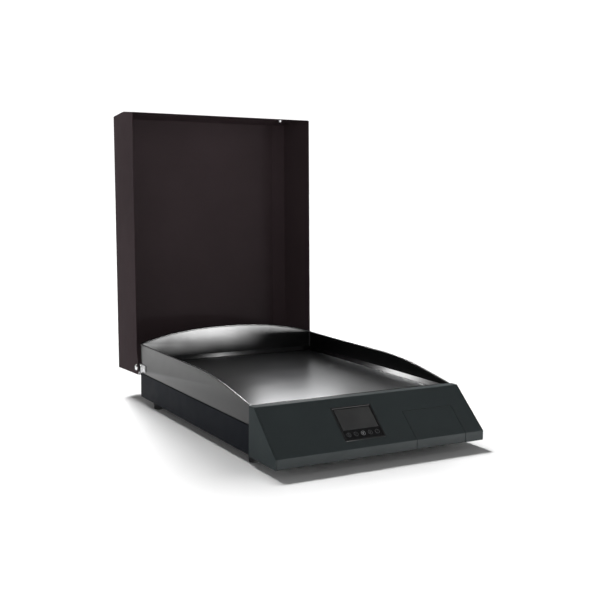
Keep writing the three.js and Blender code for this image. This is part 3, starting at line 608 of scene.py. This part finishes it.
def add_world():
    """A studio that is bright round the horizon and dim overhead; the fade runs with the height of a ray."""
    world = bpy.data.worlds.new("studio")
    world.use_nodes = True
    nodes, links = world.node_tree.nodes, world.node_tree.links
    direction = nodes.new("ShaderNodeTexCoord")
    split = nodes.new("ShaderNodeSeparateXYZ")
    links.new(direction.outputs["Generated"], split.inputs["Vector"])
    fade = nodes.new("ShaderNodeMapRange")
    fade.interpolation_type = "SMOOTHSTEP"
    for key, value in (("From Min", 0.16), ("From Max", 0.42), ("To Min", 1.12), ("To Max", 0.1)):
        fade.inputs[key].default_value = value
    links.new(split.outputs["Z"], fade.inputs["Value"])
    background = nodes["Background"]
    background.inputs["Color"].default_value = rgb(1, 1, 1)
    links.new(fade.outputs["Result"], background.inputs["Strength"])
    bpy.context.scene.world = world


add_camera()
add_floor()
add_world()
add_sun("rear_right", (0.17, 1.1, 1.0), 10, 2.8)
add_sun("rear_left", (-0.07, 1.0, 1.0), 12, 1.9)
add_softbox("front_low", (0.88, -1.9, 0.065), (-0.05, 0.24, 0.13), (0.48, 0.12), 88, lights_paint=False)
add_softbox("plate_glow", (0.13, 0.14, 0.3), (-0.1, -0.22, 0.093), (0.2, 0.08), 0.85)
bpy.context.scene.view_settings.view_transform = "Standard"

# ---- Splash guard ----


def bezier(p0, p1, p2, p3, steps):
    """Points along a cubic curve from p0 to p3."""
    out = []
    for k in range(steps + 1):
        t = k / steps
        s = 1 - t
        weights = (s * s * s, 3 * s * s * t, 3 * s * t * t, t * t * t)
        out.append(tuple(sum(w * p[i] for w, p in zip(weights, (p0, p1, p2, p3))) for i in (0, 1)))
    return out


def side_curve():
    """Top of a side wall as (y, z), from the front to the rear."""
    rise = bezier((GUARD_FRONT, HOUSING_TOP), (90, HOUSING_TOP + 16), (150, SIDE_TOP),
                  (RISE_END, SIDE_TOP), 24)
    return rise + [(y, SIDE_TOP) for y in range(260, 541, 40)]


def arch_curve():
    """Top of the back wall as (x, z), from left to right."""
    left = bezier((-GUARD_HALF, SIDE_TOP), (-150, SIDE_TOP + 25), (-70, ARCH_TOP), (0, ARCH_TOP), 28)
    return left + [(-x, z) for x, z in reversed(left[:-1])]


def rim_path():
    """The rolled rim's centreline: up one side, round the arch, and down the other side."""
    corner, steps = GUARD_CORNER, 7
    x_side, y_back = GUARD_HALF - 1, GUARD_REAR - 1
    left = [(-x_side, y, z - RIM) for y, z in side_curve() if y < y_back - corner]
    turn = []
    for k in range(steps):
        t = math.pi / 2 * k / (steps - 1)
        turn.append((-x_side + corner - corner * math.cos(t), y_back - corner + corner * math.sin(t)))
    back = [(x, y_back, z - RIM) for x, z in arch_curve() if abs(x) < x_side - corner - 1]
    climb = back[0][2] - SIDE_TOP + RIM
    first = [(x, y, SIDE_TOP - RIM + climb * (k / steps)) for k, (x, y) in enumerate(turn)]
    half = left + first + [p for p in back if p[0] < 0]
    return half + [p for p in back if p[0] == 0] + [(-x, y, z) for x, y, z in reversed(half)]


def guard_walls():
    """Four walls cut to their curved tops, a sloping strip round the plate, and the rolled rim."""
    inner, corner, front_corner = GUARD_HALF - GUARD_SHEET, GUARD_CORNER, 3
    plan = rectangle(-GUARD_HALF, GUARD_HALF, GUARD_FRONT, GUARD_REAR)
    hole = rectangle(-inner, inner, GUARD_FRONT + GUARD_SHEET, GUARD_REAR - GUARD_SHEET)
    outer_radii = [front_corner, front_corner, corner + 1, corner + 1]
    inner_radii = [front_corner - GUARD_SHEET, front_corner - GUARD_SHEET, corner - 1, corner - 1]
    blank_top, above, beyond = 175, 200, 250
    walls = cut(
        prism(fillet(plan, outer_radii), "Z", GUARD_LOW, blank_top),
        prism(fillet(hole, inner_radii), "Z", GUARD_LOW - 5, blank_top + 5),
    )
    side = [(-20, HOUSING_TOP)] + [(y, z - RIM_COVER * min(1, y / 30)) for y, z in side_curve()]
    side_end = GUARD_REAR - GUARD_SHEET - 0.1
    side += [(side_end, SIDE_TOP - RIM_COVER), (side_end, above), (-20, above)]
    side_sky = prism(side, "X", -beyond, beyond)
    arch = [(x, z - RIM_COVER) for x, z in arch_curve()]
    arch = [(-beyond, arch[0][1])] + arch + [(beyond, arch[0][1]), (beyond, above), (-beyond, above)]
    arch_sky = prism(arch, "Y", side_end - 0.1, GUARD_REAR + 15)
    walls = cut(walls, side_sky, arch_sky)
    lip = PLATE_TOP + 0.5
    mouth_half = inner - CORNER_STRIP
    mouth_front = GUARD_FRONT + GUARD_SHEET + CORNER_STRIP
    mouth_rear = GUARD_REAR - GUARD_SHEET - CORNER_STRIP
    mouth = fillet(rectangle(-mouth_half, mouth_half, mouth_front, mouth_rear), 2)
    flare = CORNER_STRIP + 2
    strip = cut(
        block(-inner - 1, inner + 1, GUARD_FRONT + 1, GUARD_REAR - 1, PLATE_TOP - 3, lip + CORNER_STRIP),
        prism(mouth, "Z", PLATE_TOP - 5, lip + 0.1),
        frustum((mouth_half, mouth_front, mouth_rear),
                (mouth_half + flare, mouth_front - flare, mouth_rear + flare), lip, lip + flare),
    )
    whole = join(walls, strip, bead(rim_path(), RIM))
    holes = [rod(SCREW_HOLE, (side * 216, y, z), (side * 224, y, z))
             for _, side in SIDES for y, z in BRACKET_SCREWS]
    return cut(whole, *holes)


piece("guard_shell", guard_walls(), "enamel", nodes=["splash_guard"], soft=0.4)


def plate_body():
    """A flat slab with a shallow gutter across its front and a drain slot in the gutter."""
    plan = fillet(rectangle(-PLATE_HALF, PLATE_HALF, PLATE_FRONT, PLATE_REAR), 4, 6)
    slab = prism(plan, "Z", PLATE_LOW, PLATE_TOP)
    reach = DRAIN_WIDTH / 2 + 3
    plan = fillet(rectangle(-GUTTER_HALF_LENGTH, GUTTER_HALF_LENGTH, DRAIN_Y - reach, DRAIN_Y + reach), 6, 6)
    gutter = prism(plan, "Z", PLATE_TOP - GUTTER_DEPTH, PLATE_TOP + 1)
    half_length, half_width = DRAIN_LENGTH / 2, DRAIN_WIDTH / 2
    plan = rectangle(DRAIN_X - half_length, DRAIN_X + half_length, DRAIN_Y - half_width, DRAIN_Y + half_width)
    slot = prism(fillet(plan, half_width - 0.1, 8), "Z", PLATE_LOW - 1, PLATE_TOP + 1)
    return cut(slab, gutter, slot)


piece("plate_top", plate_body(), "plate_steel", nodes=["cooking_plate"], soft=0.9, segments=3)

# ---- Lower casing ----


def around_inlet(half_width, half_height):
    """A rectangle in the rear face, centred on the mains inlet."""
    return rectangle(INLET_X - half_width, INLET_X + half_width, INLET_Z - half_height, INLET_Z + half_height)


def casing():
    """A folded box, open on top inside its flanges, with windows for the drawer, cables, inlet and vents."""
    plan = rectangle(-CASING_HALF, CASING_HALF, CASING_FRONT, CASING_REAR)
    outer = prism(fillet(plan, 2.5), "Z", CASING_LOW, CASING_TOP)
    round_edges(outer, lambda a, b, m: abs(a.z - b.z) < 0.01, 1.6, 3)
    half, front, rear = CASING_HALF - CASING_SHEET, CASING_FRONT + CASING_SHEET, CASING_REAR - CASING_SHEET
    inside = prism(fillet(rectangle(-half, half, front, rear), 1), "Z",
                   CASING_LOW + CASING_SHEET, CASING_TOP - CASING_SHEET)
    half, front_flange, rear_flange = (
        CASING_HALF - CASING_FLANGE, CASING_FRONT + CASING_FLANGE, CASING_REAR - CASING_FLANGE)
    mouth = prism(fillet(rectangle(-half, half, front_flange, rear_flange), 3), "Z",
                  CASING_TOP - 3, CASING_TOP + 1)
    drawer_window = prism(rectangle(DRAWER_LEFT - 1, DRAWER_RIGHT + 1, 16.5, 54), "Y", 0, front + 1)
    cable_window = prism(fillet(rectangle(-60, -20, 26, 46), 4), "Y", 0, front + 1)
    inlet_window = prism(around_inlet(14.8, 10.8), "Y", rear - 1, CASING_REAR + 1)
    vents = []
    for i in range(VENT_COUNT):
        x = VENT_FIRST + i * VENT_PITCH
        vent = fillet(rectangle(x, x + VENT_WIDTH, VENT_LOW, VENT_HIGH), 1.4)
        vents.append(prism(vent, "Y", rear - 1, CASING_REAR + 1))
    return cut(outer, inside, mouth, drawer_window, cable_window, inlet_window, *vents)


piece("casing_shell", casing(), "casing_paint", nodes=["base_pan"], soft=0.25)


def foot(x, y):
    """A ribbed rubber foot with a recess for its screw."""
    top = FOOT_HEIGHT - GAP
    profile = [(0, 3), (4, 3), (4.2, 0.4), (4.8, 0), (8.6, 0), (9.3, 0.5), (9.6, 1.6)]
    ribs, rib_pitch = 4, 1.7
    for k in range(ribs):
        base = 2.4 + k * rib_pitch
        profile += [(9.7 + k * 0.05, base), (9.3 + k * 0.05, base + 0.45), (9.7 + k * 0.05, base + 0.9)]
    profile += [(10.2, 9.6), (10.9, 10.2), (11, 10.8), (11, top - 0.5), (10.6, top), (0, top)]
    return lathe(profile, 48, Matrix.Translation((x, y, 0)))


for side_name, side in SIDES:
    for row_name, row in FOOT_ROWS:
        node = f"foot_{row_name}_{side_name}"
        piece(f"rubber_{node}", foot(side * FOOT_X, row), "foot_rubber", nodes=[node], soft=0)

# ---- Control housing ----


def slope_point(down, depth=0):
    """A point down the slope by a distance and under its surface by a depth, as (y, z)."""
    c, s = math.cos(slope_angle), math.sin(slope_angle)
    return (-HOUSING_FLAT - down * c + depth * s, HOUSING_TOP - down * s - depth * c)


def inner_lip(sheet):
    """Where the slope meets the upright lip on the inside of a sheet, as (y, z)."""
    return slope_point(slope_length - sheet * math.tan((math.pi / 2 - slope_angle) / 2), sheet)


def housing_outline(radius):
    """The housing's side view: flat top, slope, upright lip and floor."""
    points = [(0, HOUSING_TOP), slope_point(0), slope_point(slope_length), (-HOUSING_DEPTH, CASING_LOW),
              (0, CASING_LOW)]
    return fillet(points, [0, radius, radius, radius * 0.7, 0], 6)


def housing_hollow(radius):
    """The space inside the housing's sheet, open to the rear."""
    top = slope_point(SHEET * math.tan(slope_angle / 2), SHEET)
    floor = CASING_LOW + SHEET
    points = [(1, top[1]), top, inner_lip(SHEET), (-HOUSING_DEPTH + SHEET, floor), (1, floor)]
    return fillet(points, [0, radius, radius, radius, 0], 6)


def housing_sheet():
    """The folded cover between the end caps, with openings for the display and the drawer."""
    half = HOUSING_HALF - END_CAP - GAP
    sheet = cut(prism(housing_outline(HOUSING_BEND), "X", -half, half),
                prism(housing_hollow(0.8), "X", -half - 1, half + 1))
    behind, below, beyond = -HOUSING_DEPTH + 8, CASING_LOW - 5, -HOUSING_DEPTH - 8
    opening = [slope_point(DRAWER_TOP, -6), slope_point(DRAWER_TOP, 6), slope_point(slope_length - 6, 6),
               (behind, below), (beyond, below), (beyond, LIP_TOP + 6)]
    reach = DISPLAY_HEIGHT / 2 + GAP
    window = [slope_point(DISPLAY_DOWN - reach, -4), slope_point(DISPLAY_DOWN - reach, 4),
              slope_point(DISPLAY_DOWN + reach, 4), slope_point(DISPLAY_DOWN + reach, -4)]
    width = DISPLAY_WIDTH / 2 + GAP
    return cut(sheet, prism(opening, "X", DRAWER_LEFT, DRAWER_RIGHT),
               prism(window, "X", DISPLAY_X - width, DISPLAY_X + width))


piece("housing_cover", housing_sheet(), "housing_paint", nodes=["front_housing"], soft=0.3)
for side_name, side in SIDES:
    near, far = sorted((side * (HOUSING_HALF - END_CAP), side * HOUSING_HALF))
    piece(f"housing_end_{side_name}", prism(housing_outline(HOUSING_BEND), "X", near, far), "housing_paint",
          nodes=[f"end_cap_{side_name}"], soft=0.7, segments=3)


def drawer_panel():
    """The drawer's front: a bent sheet that follows the slope and the lip and folds back underneath."""
    gap = 0.8
    low = CASING_LOW + 0.6
    back, fold = -HOUSING_DEPTH + DRAWER_SHEET, -HOUSING_DEPTH + 7.4
    top = DRAWER_TOP + gap
    points = [slope_point(top), slope_point(slope_length), (-HOUSING_DEPTH, low), (fold, low),
              (fold, low + DRAWER_SHEET), (back, low + DRAWER_SHEET), inner_lip(DRAWER_SHEET),
              slope_point(top, DRAWER_SHEET)]
    outline = fillet(points, [0, HOUSING_BEND, 1.8, 0, 0, 0.8, 0.8, 0], 6)
    return prism(outline, "X", DRAWER_LEFT + gap, DRAWER_RIGHT - gap)


piece("drawer_panel", drawer_panel(), "housing_paint", body="drawer", nodes=["drawer_front"], soft=0.45,
      segments=3)

# ---- Display, drawn flat with z = 0 at the slope's surface ----

BEZEL = 3
SCREEN_HALF, SCREEN_LOW, SCREEN_HIGH = 38, -13.5, 32
KEY_ROW, KEY_PITCH, KEY_RADIUS, KEY_LINE = -23.5, 15.2, 4.6, 0.75
PRINT_LOW, PRINT_HIGH = -0.495, -0.43
centre_y, centre_z = slope_point(DISPLAY_DOWN)
ON_SLOPE = Matrix.Translation((DISPLAY_X, centre_y, centre_z)) @ Matrix.Rotation(slope_angle, 4, "X")


def display_plan(margin, radius):
    """The display's outline, smaller by a margin all round."""
    half_w, half_h = DISPLAY_WIDTH / 2 - margin, DISPLAY_HEIGHT / 2 - margin
    return fillet(rectangle(-half_w, half_w, -half_h, half_h), radius)


def display_frame():
    """The bezel round the cover glass."""
    outer = prism(display_plan(0, 1.2), "Z", -2.4, 0.3)
    inner = prism(display_plan(BEZEL, 0.8), "Z", -4, 2)
    return cut(outer, inner)


def ring(radius, width, low, high, x, y, steps=40):
    """A flat ring of ink."""
    profile = [(radius - width, low), (radius, low), (radius, high), (radius - width, high)]
    return lathe(profile, steps, Matrix.Translation((x, y, 0)))


def stroke(x0, y0, x1, y1, width, low, high):
    """A short printed line between two points."""
    a, b = Vector((x0, y0)), Vector((x1, y1))
    side = (b - a).orthogonal().normalized() * width / 2
    outline = [tuple(a + side), tuple(a - side), tuple(b - side), tuple(b + side)]
    return prism(outline, "Z", low, high)


def icon(kind, x, y, low, high):
    """A plain round touch key with a generic sign in it."""
    parts = [ring(KEY_RADIUS, KEY_LINE, low, high, x, y)]
    if kind == "power":
        parts += [ring(2.3, 0.6, low, high, x, y, 24), stroke(x, y + 0.6, x, y + 3.1, 0.6, low, high)]
    if kind == "minus":
        parts += [stroke(x - 2, y, x + 2, y, 0.8, low, high)]
    if kind == "start":
        parts += [prism([(x - 1.4, y - 2.1), (x + 2.2, y), (x - 1.4, y + 2.1)], "Z", low, high)]
    if kind == "plus":
        parts += [stroke(x - 2, y, x + 2, y, 0.8, low, high),
                  stroke(x, y + 0.42, x, y + 2, 0.8, low, high),
                  stroke(x, y - 2, x, y - 0.42, 0.8, low, high)]
    if kind == "timer":
        parts += [stroke(x, y + 0.35, x, y + 2.4, 0.6, low, high),
                  stroke(x + 0.1, y, x + 1.9, y, 0.6, low, high)]
    return together(*parts)


cover = prism(display_plan(BEZEL + GAP, 0.6), "Z", -1.8, -0.5)
screen_plan = fillet(rectangle(-SCREEN_HALF, SCREEN_HALF, SCREEN_LOW, SCREEN_HIGH), 0.8)
screen = prism(screen_plan, "Z", PRINT_LOW, PRINT_HIGH)
piece("display_frame", display_frame(), "black_plastic", nodes=["display_bezel"], place=ON_SLOPE, soft=0.5,
      segments=3)
piece("display_cover", cover, "display_glass", nodes=["display_glass"], place=ON_SLOPE, soft=0.25)
piece("display_screen", screen, "display_glass", place=ON_SLOPE, soft=0, finish=SCREEN)
for i, kind in enumerate(("power", "minus", "start", "plus", "timer")):
    key = icon(kind, (i - 2) * KEY_PITCH, KEY_ROW, PRINT_LOW, PRINT_HIGH)
    piece(f"touch_key_{kind}", key, "display_glass", place=ON_SLOPE, soft=0,
          finish=PRINT_BRIGHT if kind == "start" else PRINT)

# ---- Hinge hardware ----

BRACKET_NEAR = GUARD_HALF + GAP
BRACKET_FAR = BRACKET_NEAR + BRACKET_SHEET
BRACKET_FRONT, BRACKET_REAR = 520, 554.6
TAB_FRONT, STOP_FRONT, BRACKET_FOOT = 548, 552.3, 65.5
HOLE_START, HOLE_END = 221, 226


def hinge_plate(side):
    """A sheet bracket with a round eye for the pivot and a tab at its foot that stops the open lid."""
    reach, steps = 9.5, 24
    arc = []
    for k in range(steps + 1):
        t = -math.pi / 2 + math.pi * k / steps
        arc.append((PIVOT_Y + reach * math.cos(t), PIVOT_Z + reach * math.sin(t)))
    outline = [(BRACKET_FRONT, 76), (TAB_FRONT, 72), (TAB_FRONT, BRACKET_FOOT), (BRACKET_REAR, BRACKET_FOOT),
               (BRACKET_REAR, PIVOT_Z - reach)] + arc + [(BRACKET_FRONT, 90)]
    near, far = sorted((side * BRACKET_NEAR, side * BRACKET_FAR))
    plate = prism(outline, "X", near, far)
    near, far = sorted((side * BRACKET_NEAR, side * (BRACKET_FAR + 3)))
    stop = block(near, far, STOP_FRONT, BRACKET_REAR, BRACKET_FOOT, BRACKET_FOOT + 5)
    near, far = side * HOLE_START, side * HOLE_END
    holes = [rod(PIVOT_HOLE, (near, PIVOT_Y, PIVOT_Z), (far, PIVOT_Y, PIVOT_Z), 32)]
    holes += [rod(SCREW_HOLE, (near, y, z), (far, y, z)) for y, z in BRACKET_SCREWS]
    return cut(join(plate, stop), *holes)


def pivot_bolt(side):
    """A shouldered bolt whose domed head has a hexagon socket."""
    start, head = 214, LID_HALF + GAP
    length = head - start
    dome = [(6.1, 0), (6.4, 0.3), (6.4, 1.5), (6.1, 2.3), (5.3, 3.2), (4, 4), (2.4, 4.5), (0, 4.6)]
    profile = [(0, 0), (2.6, 0), (3, 0.5), (3, length)] + [(r, length + h) for r, h in dome]
    matrix = along_x(side, side * start, PIVOT_Y, PIVOT_Z)
    socket = lathe([(0, length + 2.2), (1.9, length + 2.2), (1.9, length + 8), (0, length + 8)], 6, matrix)
    return cut(lathe(profile, 48, matrix), socket)


def bracket_screw(side, y, z):
    """A flat-headed screw with a cross recess."""
    start, head = 216, BRACKET_FAR + 0.2
    length = head - start
    cap = [(3.6, 0), (3.8, 0.2), (3.6, 0.6), (2.6, 0.85), (0, 0.9)]
    profile = [(0, 0), (1.5, 0), (1.9, 0.5), (1.9, length)] + [(r, length + h) for r, h in cap]
    matrix = along_x(side, side * start, y, z)
    bars = []
    for half_a, half_b in ((2.1, 0.35), (0.35, 2.1)):
        bar = prism(rectangle(-half_a, half_a, -half_b, half_b), "Z", length + 0.45, length + 2)
        bar.transform(matrix)
        bars.append(bar)
    return cut(lathe(profile, 32, matrix), *bars)


for side_name, side in SIDES:
    piece(f"hinge_plate_{side_name}", hinge_plate(side), "stainless", nodes=[f"hinge_bracket_{side_name}"],
          soft=0.2)
    piece(f"hinge_bolt_{side_name}", pivot_bolt(side), "stainless", nodes=[f"pivot_bolt_{side_name}"], soft=0,
          finish=CHROME)
    for i, (y, z) in enumerate(BRACKET_SCREWS):
        piece(f"hinge_screw_{side_name}_{i + 1}", bracket_screw(side, y, z), "stainless",
              nodes=[f"bracket_screw_{side_name}_{i + 1}"], soft=0, finish=CHROME)

# ---- Lid, drawn upright about its pivot axis ----

LID_PLACE = Matrix.Translation((0, PIVOT_Y, PIVOT_Z)) @ Matrix.Rotation(-LID_TILT, 4, "X")


def ridge_level(depth):
    """How far the lid's upper end stands above its front edge, at a depth behind the pivot."""
    bend = LID_RIDGE_BEND
    past = depth - LID_EDGE - LID_RIDGE_DEPTH
    rise = LID_RIDGE_RISE / LID_RIDGE_DEPTH
    fall = LID_RIDGE_FALL / (LID_FLANGE + LID_BEVEL_DEPTH - LID_RIDGE_DEPTH)
    if past < -bend:
        return LID_RIDGE_RISE + rise * past
    if past > bend:
        return LID_RIDGE_RISE - fall * past
    return LID_RIDGE_RISE + rise * past - (rise + fall) * (past + bend) ** 2 / (4 * bend)


def lid_solid(inset, low, high, front, radius):
    """The lid's outer or inner surface as a solid, with its bends rounded."""
    slant = math.hypot(LID_BEVEL_WIDTH, LID_BEVEL_DEPTH)
    half = LID_HALF - inset
    bevel_start = LID_EDGE + LID_FLANGE - inset * (slant - LID_BEVEL_DEPTH) / LID_BEVEL_WIDTH
    panel = LID_EDGE + LID_FLANGE + LID_BEVEL_DEPTH - inset
    panel_half = LID_HALF - LID_BEVEL_WIDTH - inset * (slant - LID_BEVEL_WIDTH) / LID_BEVEL_DEPTH
    points = [(-half, front), (half, front), (half, bevel_start), (panel_half, panel),
              (-panel_half, panel), (-half, bevel_start)]
    bend = [0, 0, radius * 2, radius * 2, radius * 2, radius * 2]
    bm = prism(fillet(points, bend, 6), "Z", low, high)
    steps = 3
    for k in range(-steps, steps + 1):
        plane = (0, LID_EDGE + LID_RIDGE_DEPTH + k * LID_RIDGE_BEND / steps, 0)
        geometry = bm.verts[:] + bm.edges[:] + bm.faces[:]
        bmesh.ops.bisect_plane(bm, geom=geometry, plane_co=plane, plane_no=(0, 1, 0))
    for v in bm.verts:
        if v.co.z > high - 0.01:
            v.co.z = high + ridge_level(v.co.y)
    bmesh.ops.recalc_face_normals(bm, faces=bm.faces)

    def on_top_border(a, b, m):
        """Picks the edges round the upper end, but not the cuts that run across it from side to side."""
        level = high + ridge_level(m.y)
        if min(a.z, b.z) < high - 1 or abs(m.z - level) > 1 or abs(a.z - b.z) > LID_RIDGE_RISE + 1:
            return False
        across = abs(abs(a.x) - abs(b.x)) < 0.01 and abs(a.y - b.y) < 0.01 and a.x * b.x < 0
        return not across or abs(a.y - panel) < 0.01

    return round_edges(bm, on_top_border, radius, 4)


def lid_skin():
    """The folded shell, open in front and below, with an ear on each side that holds the pivot bolt."""
    outer = lid_solid(0, -LID_BELOW, LID_ABOVE, LID_EDGE, 2.6)
    inner = lid_solid(LID_SHEET, -LID_BELOW - 2, LID_ABOVE - LID_SHEET, LID_EDGE - 4, 1.1)
    ears = []
    for _, side in SIDES:
        near, far = sorted((side * (LID_HALF - LID_SHEET), side * LID_HALF))
        points = [(LID_EDGE + 1, 45), (-7.5, 2), (-7, -LID_BELOW), (LID_EDGE + 1, -LID_BELOW)]
        ears.append(prism(fillet(points, [0, 6, 3, 0], 6), "X", near, far))
    holes = [rod(3.2, (side * (LID_HALF - 4), 0, 0), (side * (LID_HALF + 2), 0, 0), 32) for _, side in SIDES]
    return cut(join(cut(outer, inner), *ears), *holes)


piece("lid_skin", lid_skin(), "lid_paint", body="lid", nodes=["lid_shell"], place=LID_PLACE, soft=0.4)


def stud():
    """A turned stop under the lid's upper end, a wide collar with a narrower nose."""
    top = LID_ABOVE - LID_SHEET - GAP
    low = top - STUD_LENGTH
    profile = [(0, low), (3, low), (3.6, top - 4.4), (3.6, top - 3), (4.4, top - 3), (4.6, top - 2.8),
               (4.6, top), (0, top)]
    return lathe(profile, 40, Matrix.Translation((STUD_X, STUD_DEPTH, 0)))


piece("lid_buffer", stud(), "stainless", body="lid", nodes=["lid_stud"], place=LID_PLACE, soft=0)

# ---- Mains inlet ----


def inlet():
    """A flanged appliance inlet: a moulded socket with two screw holes."""
    flange = prism(fillet(around_inlet(25, 14), 5, 8), "Y", CASING_REAR + GAP, CASING_REAR + 2.3)
    body = prism(around_inlet(14.2, 10.2), "Y", CASING_REAR - 20, CASING_REAR + 1)
    socket = prism(fillet(around_inlet(12, 8), [4, 4, 1, 1], 5), "Y", CASING_REAR - 16, CASING_REAR + 4)
    screws = [rod(1.7, (INLET_X + dx, CASING_REAR - 1, INLET_Z), (INLET_X + dx, CASING_REAR + 4, INLET_Z))
              for dx in (-20, 20)]
    return cut(join(flange, body), socket, *screws)


piece("inlet_frame", inlet(), "black_plastic", nodes=["mains_inlet"], soft=0.5, segments=3)

# ---- The CAD nodes that stay: their finish and softened edges ----

for part in frame["record"]["subparts"]:
    obj = frame["nodes"][part["node"]]
    if obj.hide_render:
        continue
    obj.data.materials.clear()
    obj.data.materials.append(FINISH[part["material_slot"]])
    weld = obj.modifiers.new("weld", "WELD")
    weld.merge_threshold = 0.00001
    bevel = obj.modifiers.new("soft_edges", "BEVEL")
    bevel.width = 0.0002
    bevel.segments = 2
    bevel.limit_method = "ANGLE"
    bevel.angle_limit = math.radians(40)
    bevel.harden_normals = True
